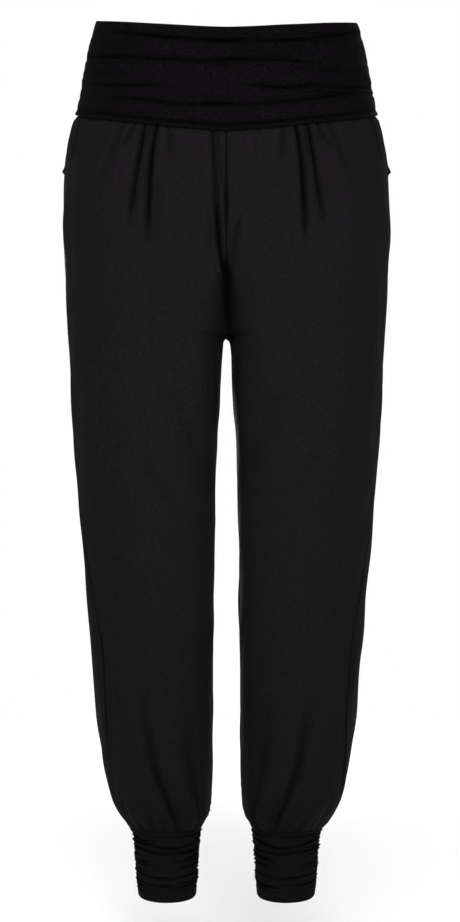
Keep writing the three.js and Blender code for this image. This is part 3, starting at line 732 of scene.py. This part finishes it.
# The creases of the waistband, through points of signed share and height. The signed share
# runs from -1 at the wearer's right side seam over 0 at the centre to 1 at the left one.
BAND_CREASES = {
    # points, depth, width, lip above, lip below
    "front": [
        ([(-0.66, 1), (-0.4, -8), (-0.2, -13.5), (0, -16.5), (0.17, -16), (0.37, -13), (0.57, -6),
          (0.84, 8)], 2.3, 2, 0.35, 0.4),
        ([(-0.99, -20), (-0.63, -29), (-0.47, -32), (-0.32, -35.5), (-0.1, -39), (0.07, -37.5),
          (0.27, -37), (0.5, -39.5)], 2.4, 1.9, 0.35, 0.6),
        ([(-0.8, -55), (-0.56, -62.5), (-0.38, -64.5), (-0.2, -68)], 1.6, 1.7, 0.3, 0.5),
        ([(0.05, -65.5), (0.25, -68.5), (0.42, -65), (0.58, -64), (0.75, -60), (1, -53.5)], 2.5, 2.1,
          0.35, 0.6),
        ([(0.32, -72), (0.54, -71.5), (0.69, -66), (1, -60.5)], 1.7, 1.6, 0.2, 0.4),
        ([(-0.64, -77), (-0.48, -78), (-0.35, -83), (-0.18, -88), (-0.05, -87.5), (0.1, -88),
          (0.24, -85), (0.36, -81.5), (0.51, -75), (0.76, -65.5)], 2.1, 1.8, 0.35, 0.5),
        ([(-0.78, -91.5), (-0.54, -94), (-0.34, -96.5)], 1.1, 2, 0.3, 0.3),
        ([(0.44, -16), (0.63, -6.5), (0.97, 7)], 0.9, 3.2, 0.3, 0.3),
        ([(0.3, -48), (0.55, -46), (0.99, -27)], 0.8, 3, 0.3, 0.4),
        ([(-0.92, -3), (-0.62, -16), (-0.4, -22)], 0.8, 3, 0.3, 0.3),
        ([(-0.97, -38), (-0.74, -45), (-0.45, -52)], 0.7, 3, 0.3, 0.3),
        ([(-0.1, -27), (0.2, -28), (0.5, -24)], 0.6, 3, 0.3, 0.3),
    ],
    "back": [
        ([(-0.95, 5), (-0.5, 10), (-0.1, 14), (0.3, 11), (0.7, 4)], 2.2, 2, 0.35, 0.45),
        ([(-0.6, -12), (-0.2, -8), (0.2, -7), (0.6, -13), (1, -20)], 2.3, 2, 0.35, 0.5),
        ([(-1, -42), (-0.6, -37), (-0.2, -33), (0.15, -35), (0.4, -40)], 2.1, 1.9, 0.35, 0.5),
        ([(-0.3, -50), (0.1, -49), (0.5, -52), (0.98, -61)], 2.2, 1.9, 0.35, 0.5),
        ([(-0.98, -67), (-0.6, -64), (-0.25, -60), (0.1, -62)], 1.6, 1.8, 0.3, 0.5),
        ([(0.2, -26), (0.55, -27), (0.9, -36)], 1, 2.6, 0.3, 0.3),
        ([(-0.8, -22), (-0.5, -24), (-0.15, -22)], 0.9, 2.8, 0.3, 0.3),
    ],
}
ROLLS_FLAT = 0.45  # the share of the rolls' depth that is left between the creases


def crease_shape(off, above, below):
    """A sharp crease in cloth: a narrow valley between a soft roll above and a tighter one below."""
    valley = np.exp(-np.abs(off) ** 1.3)
    return above * bell((off - 3.2) / 2.2) + below * bell((off + 2.0) / 1.1) - valley


BAND_COLUMN = 0.0072
BAND_ROW = 1.05
EDGE_ROWS = (0.03, 0.02)  # a row this close to the top edge and one to the foot, in lines
CREASE_FADE = 0.16  # the share over which a crease of the band runs out
DEEP_CREASE = 2.4  # a crease this deep is in full shade
ROLL_CHANGE = (120, 60)  # over these lengths, across and down, rolls swell and shrink
BAND_DENTS = (90, 34, 0.4)
BAND_BUNCHES = (30, 10, 0.5, 6)
BUNCH_REACH = 14.0
BAND_SEAM = (0.6, 0.2)
# The lower edge is a tight roll with a dip above it, deepest in the middle.
FOOT_ROLL_AT, FOOT_ROLL_WIDE, FOOT_ROLL_HIGH = 1.7, 1.4, 1.2
FOOT_DIP_AT, FOOT_DIP_WIDE, FOOT_DIP_DEEP, FOOT_DIP_SHADE = 6.0, 2.4, 1.5, 0.8
EDGE_ROUND, EDGE_ROUNDED = 0.8, 0.75


def band_rows(face):
    """Rows of the band, counted in its lines, so that each line has a row of its own."""
    rows = [0, EDGE_ROWS[0]]
    for i in range(BAND_COUNT - 1):
        tall = abs(BAND_LINES[face][i + 1] - BAND_LINES[face][i])
        between = i + np.linspace(0, 1, max(4, int(round(tall / BAND_ROW))), endpoint=False)
        rows.extend(between if i else between[1:])
    return np.array(rows + [BAND_FOOT - EDGE_ROWS[1], BAND_FOOT])


def band_relief(face, side, share, z, length, foot_gap):
    """How far the band's cloth stands out from the form, and how much shade is painted into each point's
    colour.
    """
    signed = side * share
    u = signed * length
    # Rolls swell and shrink along their length, and bunch a little at the side seams.
    out = ROLLS_FLAT * band_out(face, side, share, z)
    out *= 0.8 + 0.4 * waves(u / ROLL_CHANGE[0], z / ROLL_CHANGE[1], 71 if face == "front" else 72, 7)
    out += ripples(u, z, 81 if face == "front" else 82, BAND_DENTS)
    from_seam = (1 - share) * length
    out += np.exp(-from_seam / BUNCH_REACH) * ripples(u, z, 91, BAND_BUNCHES)
    shade = np.zeros_like(z)
    for points, depth, width, above, below in BAND_CREASES[face]:
        along = [p[0] for p in points]
        off = (z - curve(along, [p[1] for p in points])(signed)) / width
        fade = easing((signed - along[0]) / CREASE_FADE) * easing((along[-1] - signed) / CREASE_FADE)
        fade = fade * (0.8 + 0.25 * waves(signed * 2.2, depth, 17, 4))
        out += depth * fade * crease_shape(off, above, below)
        shade = np.maximum(shade, depth / DEEP_CREASE * fade * np.exp(-np.abs(off * 0.8) ** 1.5))
    out += seam_shape(from_seam, *BAND_SEAM)
    roll = bell((foot_gap - FOOT_ROLL_AT) / FOOT_ROLL_WIDE)
    dip = bell((foot_gap - FOOT_DIP_AT) / FOOT_DIP_WIDE)
    out += FOOT_ROLL_HIGH * (1 - 0.8 * share) * roll - FOOT_DIP_DEEP * (1 - 0.5 * share) * dip
    lower_dip = bell((foot_gap - FOOT_DIP_AT - 0.4) / FOOT_DIP_WIDE)
    shade = np.maximum(shade, FOOT_DIP_SHADE * (1 - share) ** 0.5 * lower_dip)
    return out, shade


def band_half(face, material):
    """The front or the back of the waistband, from one side seam to the other."""
    row, signed = np.meshgrid(band_rows(face), spaced(-1, 1, BAND_COLUMN), indexing="ij")
    side = np.where(signed < 0, -1, 1)
    share = np.abs(signed)
    i = np.minimum(row.astype(int), BAND_COUNT - 2)
    heights = np.stack([line_height(k, face, side, share) for k in range(BAND_COUNT)])
    high = np.take_along_axis(heights, i[None], axis=0)[0]
    low = np.take_along_axis(heights, i[None] + 1, axis=0)[0]
    z = high + (low - high) * (row - i)
    run = RUNS[face, 0.0]
    at, way = run.point(share, z, 1.0)
    length = run.length_at(z)
    foot_gap = z - heights[BAND_FOOT]
    out, shade = band_relief(face, side, share, z, length, foot_gap)
    near_edge = bell((heights[0] - z) / EDGE_ROUND) + bell(foot_gap / EDGE_ROUND)
    out -= EDGE_ROUNDED * near_edge
    thick = BAND_WALL - EDGE_ROUNDED * near_edge
    mirror = np.stack([side, np.ones_like(side), np.ones_like(side)], -1)
    outer = (at + way * out[..., None]) * mirror
    inner = (at + way * (out - thick)[..., None]) * mirror
    uv = np.stack([signed * length, z], axis=-1)
    name = f"waistband_{face}_half"
    return shell_piece(name, outer, inner, face == "back", uv, shade, material)


FACING_UNDER = 12.0  # the facing goes this far in under the edge of the pocket mouth
FACING_PAST_SEAM = 6.0
FACING_STEPS = 40
FACING_BELOW = 0.12  # it goes this much of its height below the foot of the mouth


def pocket_facing(side, material):
    """The cloth that shows inside a pocket mouth, a layer below the panels."""
    name = "right" if side < 0 else "left"
    down, across = np.meshgrid(
        np.linspace(1, -FACING_BELOW, FACING_STEPS), np.linspace(0, 1, FACING_STEPS), indexing="ij",
    )
    top = float(line_height(BAND_FOOT, "front", side, 0.9)) + LAP * 0.7
    z = POCKET_FOOT + (top - POCKET_FOOT) * down
    front, back = RUNS["front", HALF_GAP], RUNS["back", HALF_GAP]
    reach = mouth_offset(z) + FACING_UNDER
    ahead = reach - (reach + FACING_PAST_SEAM) * across
    share_front = 1 - np.maximum(ahead, 0) / front.length_at(z)
    share_back = 1 + np.minimum(ahead, 0) / back.length_at(z)
    at_front, way_front = front.point(share_front, z)
    at_back, way_back = back.point(share_back, z)
    on_front = ahead >= 0
    at = np.where(on_front[..., None], at_front, at_back)
    way = np.where(on_front[..., None], way_front, way_back)
    lap_front = lap_shift("front", side, share_front, z)
    lap_back = lap_shift("back", side, share_back, z)
    out = np.where(on_front, lap_front, lap_back) - CLOTH - FACING_CLEAR
    outer = sided(at + way * out[..., None], side)
    inner = sided(at + way * (out - CLOTH)[..., None], side)
    uv = np.stack([ahead * side, z], axis=-1)
    piece = f"pocket_facing_{name}_cloth"
    return shell_piece(piece, outer, inner, side < 0, uv, 0 * z, material)


# The creases of the cuffs, through points of share and height from the inseam to the side seam.
# They sag between the two seams, where the knit is held up and bunched.
CUFF_CREASES = {
    # points, depth, width, lip above, lip below
    "front": [
        ([(0, -903.2), (0.2, -904.5), (0.4, -908.6), (0.52, -909.6), (0.68, -907.4), (0.84, -903.4)],
          0.9, 1.2, 0.35, 0.4),
        ([(0, -908), (0.16, -914), (0.32, -919.5), (0.44, -922), (0.57, -920.8), (0.72, -917.3),
          (0.88, -911.5), (1, -906)], 1.9, 1.25, 0.35, 0.5),
        ([(0, -922.5), (0.12, -924.6), (0.28, -927), (0.41, -928.6), (0.54, -928.2), (0.69, -926.3),
          (0.87, -924), (1, -920)], 1.6, 1.2, 0.35, 0.45),
        ([(0, -926), (0.12, -931), (0.22, -934.5), (0.31, -936.8), (0.43, -938.8)], 1.7, 1.2, 0.3, 0.4),
        ([(0, -938), (0.1, -941), (0.27, -942.8), (0.42, -943.6)], 1.2, 1.1, 0.3, 0.4),
        ([(0.62, -943.4), (0.75, -942.3), (0.92, -939), (1, -936)], 1.3, 1.1, 0.3, 0.4),
        ([(0.8, -932.5), (0.9, -931), (1, -928)], 1.1, 1, 0.3, 0.4),
        ([(0, -947), (0.08, -951), (0.28, -955.2), (0.43, -957), (0.6, -956.2), (0.74, -954.2),
          (0.9, -951), (1, -947)], 1.5, 1.15, 0.35, 0.45),
        ([(0.36, -964.6), (0.55, -965), (0.7, -963.8), (0.92, -961), (1, -958)], 1.6, 1.2, 0.3, 0.4),
        ([(0, -957), (0.12, -962.3), (0.26, -966.4), (0.38, -967.6), (0.5, -966.4)], 1.8, 1.2, 0.3,
          0.45),
        ([(0.3, -971.2), (0.41, -970.8), (0.52, -968.6)], 0.9, 1.1, 0.3, 0.3),
    ],
    "back": [
        ([(0, -904), (0.25, -907), (0.5, -909), (0.75, -907.5), (1, -904)], 0.9, 1.2, 0.35, 0.4),
        ([(0, -910), (0.3, -916), (0.55, -918.5), (0.8, -916), (1, -909)], 1.8, 1.25, 0.35, 0.5),
        ([(0, -919), (0.2, -924), (0.42, -928), (0.66, -929)], 1.6, 1.2, 0.35, 0.45),
        ([(0.45, -934), (0.7, -931.5), (1, -922)], 1.6, 1.2, 0.3, 0.45),
        ([(0, -933), (0.2, -938), (0.45, -942), (0.7, -940), (1, -932)], 1.5, 1.2, 0.35, 0.45),
        ([(0, -942), (0.18, -946), (0.38, -948)], 1.3, 1.1, 0.3, 0.4),
        ([(0.3, -953), (0.6, -954), (0.82, -950), (1, -944)], 1.6, 1.2, 0.3, 0.45),
        ([(0, -953), (0.22, -958.5), (0.5, -962), (0.78, -960.5), (1, -955)], 1.6, 1.2, 0.35, 0.45),
        ([(0.5, -968), (0.75, -967), (1, -962)], 1.2, 1.1, 0.3, 0.4),
    ],
}
CUFF_RIPPLE = 4.2  # the height of one of the small ripples between the creases
RIPPLE_BEND = (40, 40)
RIPPLE_SHADE = 0.9
CUFF_SAG = 5.0
SAG_FREE = 10.0  # the sag fades over this height at both ends of the cuff
CUFF_DENTS = (60, 22, 0.4)
CUFF_ROW, CUFF_COLUMN = 0.66, 0.0105
CUFF_SEAM = (0.5, 0.15)
CUFF_BUNCHED = 15.0  # the ripples are strong over this length beside the seams
OPEN_END = 0.14  # the share over which a crease of a cuff runs out
DEEP_CUFF_CREASE = 1.5
HEM_HIGH = 2.0
HEM_LOW = 2.0
HEM_ROUND, HEM_ROUNDED, HEM_THINNER = 0.9, 0.7, 0.4
CUFF_TOP_ROUND, CUFF_TOP_ROUNDED = 1.2, 0.6
CUFF_TOP_SHADE = 0.8
CUFF_SEEDS = {("front", RIGHT): 110, ("front", LEFT): 115, ("back", RIGHT): 130, ("back", LEFT): 135}


def bunched_creases(seed):
    """Short creases that crowd together at both seams of a cuff half and slant down from them."""
    rng = np.random.default_rng(seed)
    found = []
    for at_side in (False, True):
        z = ANKLE - 3.0
        while z > HEM + 13.0:
            reach, drop = rng.uniform(0.2, 0.44), rng.uniform(3.0, 8.5)
            path = [(0.0, z), (reach * 0.5, z - drop * 0.65), (reach, z - drop)]
            if at_side:
                path = [(1 - share, height) for share, height in reversed(path)]
            depth, width = rng.uniform(0.9, 1.9), rng.uniform(0.8, 1.1)
            found.append((path, depth, width, 0.3, 0.4))
            z -= rng.uniform(3.6, 6.4)
    return found


def cuff_relief(face, share, z, length, top, seed):
    """How far a cuff's cloth stands out from the form, and how much shade is painted into each point's
    colour.
    """
    u = share * length
    edge = np.exp(-np.minimum(u, length - u) / CUFF_BUNCHED)
    held = easing((top - z) / 2.0) * easing((z - HEM - 3) / 9)
    # Small ripples follow the same sag, strongest beside the seams, where the knit is bunched.
    sagged = z + CUFF_SAG * np.sin(math.pi * share)
    bend = waves(u / RIPPLE_BEND[0], z / RIPPLE_BEND[1], seed, 6)
    ripple = np.sin(2 * math.pi * (sagged / CUFF_RIPPLE + 0.35 * bend))
    strength = 0.10 + 0.5 * edge + 0.12 * np.clip(waves(u / 50, z / 14, seed + 1, 6), -0.6, 1)
    out = (ripple * strength + ripples(u, z, seed + 2, CUFF_DENTS)) * held
    painted_dip_dark = np.clip(-ripple, 0, 1) ** 2 * np.clip(strength * 1.3 - 0.1, 0, 1)
    shade = RIPPLE_SHADE * painted_dip_dark * held
    for points, depth, width, above, below in CUFF_CREASES[face] + bunched_creases(seed + 7):
        along = [p[0] for p in points]
        path = curve(along, [p[1] for p in points])(share)
        path = path + 0.7 * waves(share * 1.5, depth * along[-1], seed + 3, 5)
        # An end in the open fades out; an end at a seam runs into it.
        open_start = 1.0 if along[0] == 0 else easing((share - along[0]) / OPEN_END)
        open_end = 1.0 if along[-1] == 1 else easing((along[-1] - share) / OPEN_END)
        uneven = 0.85 + 0.25 * waves(share * 2, depth + along[0], seed + 4, 4)
        fade = open_start * open_end * uneven
        off = (z - path) / width
        out += depth * fade * crease_shape(off, above, below) * held
        dark = depth / DEEP_CUFF_CREASE * fade * np.exp(-np.abs(off * 0.95) ** 1.5)
        shade = np.maximum(shade, dark)
    out += seam_shape(u, *CUFF_SEAM) + seam_shape(length - u, *CUFF_SEAM)
    shade = np.maximum(shade, CUFF_TOP_SHADE * bell(top - z))
    out -= HEM_ROUNDED * bell((z - HEM) / HEM_ROUND)
    out -= CUFF_TOP_ROUNDED * bell((top - z) / CUFF_TOP_ROUND)
    return out, shade


def cuff_half(face, side, material):
    """The front or the back of a ruched cuff, from the inseam to the side seam."""
    name = "right" if side < 0 else "left"
    top = ANKLE - HALF_GAP
    rows = np.concatenate([
        [top, top - 0.3], spaced(top - 0.7, HEM + 0.9, CUFF_ROW), [HEM + 0.3, HEM],
    ])
    shares = np.concatenate([[0, 0.004], spaced(0.012, 0.988, CUFF_COLUMN), [0.996, 1]])
    z, share = np.meshgrid(rows, shares, indexing="ij")
    run = RUNS[face, HALF_GAP]
    sag = np.sin(math.pi * share)
    z = z - CUFF_SAG * sag * np.clip(np.minimum(top - z, z - HEM) / SAG_FREE, 0, 1)
    at, way = run.point(share, z, 1.0)
    length = run.length_at(z)
    out, shade = cuff_relief(face, share, z, length, top, CUFF_SEEDS[face, side])
    thick = CLOTH - HEM_THINNER * bell((z - HEM) / HEM_ROUND)
    # The hem hangs a little lower in the middle of each face than at its seams.
    at[..., 2] += easing((HEM + 30 - z) / 30) * (HEM_HIGH - (HEM_HIGH + HEM_LOW) * sag)
    outer = sided(at + way * out[..., None], side)
    inner = sided(at + way * (out - thick)[..., None], side)
    uv = np.stack([share * length * side, z], axis=-1)
    flip = (face == "back") != (side < 0)
    return shell_piece(f"cuff_{face}_{name}_half", outer, inner, flip, uv, shade, material)


# Painted shade: the shade stored with each point darkens the cloth's colour, down to this share of its
# darker colour at the bottom of a deep crease.
PAINTED_DIP_SHADE = 0.15  # how dark the bottom of a deep crease is, of the cloth's darker colour
CLOTH_ROUGHNESS = 0.8
SHEEN_ROUGHNESS = 0.45
SHEEN_TINT = (0.72, 0.7, 0.74, 1)
RIBS, COURSES = 420, 330  # the scale of the knit's upright ribs and of its rows
FUZZ, MOTTLE = 900, 260
STREAKS = (210, 760, 1)
KNIT_DEPTH, SLUB_DEPTH = 0.00035, 0.0012  # in metres


def add_node(tree, kind, inputs, **settings):
    """A shader node with its settings, and with values or links for its inputs."""
    node = tree.nodes.new("ShaderNode" + kind)
    for setting, value in settings.items():
        setattr(node, setting, value)
    for socket, value in inputs.items():
        if isinstance(value, bpy.types.NodeSocket):
            tree.links.new(value, node.inputs[socket])
        else:
            node.inputs[socket].default_value = value
    return node


def add_ramp(tree, factor, low, high):
    """The output of a colour ramp from low to high."""
    ramp = add_node(tree, "ValToRGB", {0: factor})
    ramp.color_ramp.elements[0].color = (*low, 1)
    ramp.color_ramp.elements[1].color = (*high, 1)
    return ramp.outputs[0]


def multiply_add(tree, value, by, plus):
    """The shader value times one number and plus another."""
    return add_node(tree, "Math", {0: value, 1: by, 2: plus}, operation="MULTIPLY_ADD").outputs[0]


def jersey_material(name, dark, light, gloss, fuzz_sheen):
    """Black viscose jersey: fine upright ribs of knit, a little mottling, a soft sheen, and shade painted
    into its colour at creases, folds and seams.
    """
    material = bpy.data.materials.new(name)
    material.use_nodes = True
    tree = material.node_tree
    tree.nodes.clear()
    uv = add_node(tree, "UVMap", {}, uv_map="cloth").outputs[0]
    spot = add_node(tree, "TexCoord", {}).outputs["Object"]

    # The knit and its fuzz, raised.
    rib_inputs = {0: uv, "Scale": RIBS, "Distortion": 1.2, "Detail": 1.0}
    ribs = add_node(tree, "TexWave", rib_inputs, wave_type="BANDS", bands_direction="X")
    course_inputs = {0: uv, "Scale": COURSES, "Distortion": 1.6}
    courses = add_node(tree, "TexWave", course_inputs, wave_type="BANDS", bands_direction="Y")
    fuzz = add_node(tree, "TexNoise", {0: spot, "Scale": FUZZ, "Detail": 3})
    mottle_inputs = {0: spot, "Scale": MOTTLE, "Detail": 5, "Roughness": 0.65}
    mottle = add_node(tree, "TexNoise", mottle_inputs).outputs["Fac"]
    knit_inputs = {0: ribs.outputs["Fac"], 1: courses.outputs["Fac"]}
    knit = add_node(tree, "Math", knit_inputs, operation="MULTIPLY").outputs[0]
    height = multiply_add(tree, fuzz.outputs["Fac"], 0.6, knit)
    raised = add_node(tree, "Bump", {"Strength": 0.35, "Distance": KNIT_DEPTH, "Height": height})
    slub_inputs = {"Strength": 0.16, "Distance": SLUB_DEPTH, "Height": mottle}
    slub = add_node(tree, "Bump", {**slub_inputs, "Normal": raised.outputs[0]})

    # The colour: uneven yarn, darker between the ribs, with shade painted in the creases.
    streaks_map = add_node(tree, "Mapping", {0: uv, "Scale": STREAKS})
    streaks = add_node(tree, "TexNoise", {0: streaks_map.outputs[0], "Scale": 1.0, "Detail": 2})
    uneven = multiply_add(tree, streaks.outputs["Fac"], 1.6, mottle)
    yarn = multiply_add(tree, knit, 0.25, uneven)
    spread = add_node(tree, "MapRange", {"Value": yarn, "From Min": 0.95, "From Max": 1.8})
    colour = add_ramp(tree, spread.outputs[0], dark, light)
    # The shade painted into the colour, read from the attribute stored with each point.
    painted_shade = add_node(tree, "Attribute", {}, attribute_name="painted_shade").outputs["Fac"]
    painted_dip_dark = (*(c * PAINTED_DIP_SHADE for c in dark), 1)
    colour_with_painted_shade = add_node(tree, "Mix", {0: painted_shade, 6: colour, 7: painted_dip_dark}, data_type="RGBA")
    shader = add_node(tree, "BsdfPrincipled", {
        "Base Color": colour_with_painted_shade.outputs[2],
        "Roughness": CLOTH_ROUGHNESS,
        "Specular IOR Level": gloss,
        "Sheen Weight": fuzz_sheen,
        "Sheen Roughness": SHEEN_ROUGHNESS,
        "Sheen Tint": SHEEN_TINT,
        "Normal": slub.outputs[0],
    })
    add_node(tree, "OutputMaterial", {0: shader.outputs[0]})
    return material


def plain_material(name, colour, rough):
    """A plain studio surface with a faint unevenness."""
    material = bpy.data.materials.new(name)
    material.use_nodes = True
    tree = material.node_tree
    shader = tree.nodes["Principled BSDF"]
    shader.inputs["Roughness"].default_value = rough
    noise = add_node(tree, "TexNoise", {"Scale": 3})
    uneven = add_ramp(tree, noise.outputs["Fac"], [c * 0.985 for c in colour], colour)
    tree.links.new(uneven, shader.inputs["Base Color"])
    return material


def area_light(name, place, target, size, power, spread):
    """A soft light of a size in metres, aimed at a point. Spread, in degrees, narrows its beam."""
    data = bpy.data.lights.new(name, "AREA")
    data.shape = "RECTANGLE"
    data.size, data.size_y = size
    data.energy = power
    data.spread = math.radians(spread)
    lamp = bpy.data.objects.new(name, data)
    bpy.context.collection.objects.link(lamp)
    lamp.location = place
    aim = Vector(target) - Vector(place)
    lamp.rotation_mode = "QUATERNION"
    lamp.rotation_quaternion = aim.to_track_quat("-Z", "Y")


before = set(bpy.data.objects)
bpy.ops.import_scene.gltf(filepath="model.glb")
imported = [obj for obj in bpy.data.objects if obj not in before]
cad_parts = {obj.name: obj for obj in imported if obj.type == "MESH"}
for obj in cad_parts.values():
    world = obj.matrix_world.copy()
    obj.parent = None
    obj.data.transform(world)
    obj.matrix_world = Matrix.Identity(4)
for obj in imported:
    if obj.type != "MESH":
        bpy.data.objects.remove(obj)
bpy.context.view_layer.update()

scene = bpy.context.scene
scene.view_settings.view_transform = "Standard"

# The cloth. The band is double and its folds lie close, and so do the cuffs' folds; their copies of the
# jersey are painted darker, as painted shade.
jersey = jersey_material("black_jersey", (0.0029, 0.00255, 0.0029), (0.0078, 0.0070, 0.0078), 0.02, 0.011)
cuff_jersey_painted_darker = jersey_material(
    "black_jersey_cuff_painted_darker", (0.0020, 0.0018, 0.0021), (0.0055, 0.0050, 0.0058), 0.02, 0.006,
)
band_jersey_painted_darker = jersey_material(
    "black_jersey_band_painted_darker", (0.0004, 0.0003, 0.0004), (0.0042, 0.0035, 0.0042), 0.012, 0.010,
)

# The pieces.
for face in ("front", "back"):
    band = band_half(face, band_jersey_painted_darker)
    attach(band, "root")
    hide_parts(f"waistband_{face}")
    for side, name in ((RIGHT, "right"), (LEFT, "left")):
        panel = leg_panel(face, side, jersey)
        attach(panel, "root")
        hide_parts(f"{face}_{name}")
        cuff = cuff_half(face, side, cuff_jersey_painted_darker)
        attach(cuff, "root")
        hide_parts(f"cuff_{face}_{name}")
for side, name in ((RIGHT, "right"), (LEFT, "left")):
    facing = pocket_facing(side, jersey)
    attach(facing, "root")
    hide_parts(f"pocket_facing_{name}")

# The floor and the studio air, which is white where it is seen and softer as a light.
FLOOR = -1.06
FLOOR_RADIUS = 2.6
AIR_LIGHT = 0.2
bpy.ops.mesh.primitive_circle_add(
    vertices=96, radius=FLOOR_RADIUS, fill_type="NGON", location=(0, 0, FLOOR),
)
floor = bpy.context.active_object
floor.name = "studio_floor"
floor.data.materials.append(plain_material("pale_floor", (0.94, 0.94, 0.94), 0.9))

world = bpy.data.worlds.new("studio")
scene.world = world
world.use_nodes = True
air = world.node_tree
seen = add_node(air, "LightPath", {}).outputs["Is Camera Ray"]
brightness = add_node(air, "MapRange", {"Value": seen, "To Min": AIR_LIGHT, "To Max": 1.0})
studio_air = air.nodes["Background"]
studio_air.inputs[0].default_value = (1, 1, 1, 1)
air.links.new(brightness.outputs[0], studio_air.inputs[1])

# The lights, in metres, watts and degrees. What lights the front also lights the back.
CENTRE = (0, 0, -0.45)
THIGHS = (0, 0, -0.42)
HIPS = (0, 0, -0.12)
for name, place, target, size, power, spread in (
    ("front_softbox", (-0.3, -2.7, 1.9), CENTRE, (2.0, 1.2), 88, 180),
    ("back_softbox", (0.3, 2.8, 1.9), CENTRE, (2.0, 1.2), 88, 180),
    ("front_fill", (0.3, -3.1, 0.1), CENTRE, (1.6, 1.2), 12, 180),
    ("back_fill", (-0.3, 3.1, 0.1), CENTRE, (1.6, 1.2), 12, 180),
    ("front_grid", (0.3, -3.1, 0.1), THIGHS, (1.2, 0.5), 3.4, 30),
    ("back_grid", (-0.3, 3.1, 0.1), THIGHS, (1.2, 0.5), 3.4, 30),
    ("right_softbox", (-2.5, -1.1, 0.9), HIPS, (0.9, 0.7), 1.2, 40),
    ("left_softbox", (2.5, -1.1, 0.9), HIPS, (0.9, 0.7), 1.0, 40),
):
    area_light(name, place, target, size, power, spread)

# The camera: level with the middle of the garment, straight in front of it.
PIXEL = 0.00115  # metres to a pixel of the photograph at the garment's middle
PHOTO_HEIGHT = 922
DISTANCE = 2.7
ASIDE, LEVEL = 0.004, -0.481
SENSOR = 36
camera_data = bpy.data.cameras.new("camera")
camera_data.sensor_fit = "AUTO"
camera_data.sensor_width = SENSOR
camera_data.lens = SENSOR * DISTANCE / (PHOTO_HEIGHT * PIXEL)
camera = bpy.data.objects.new("camera", camera_data)
bpy.context.collection.objects.link(camera)
camera.location = (ASIDE, -DISTANCE, LEVEL)
camera.rotation_euler = (math.pi / 2, 0, 0)
scene.camera = camera
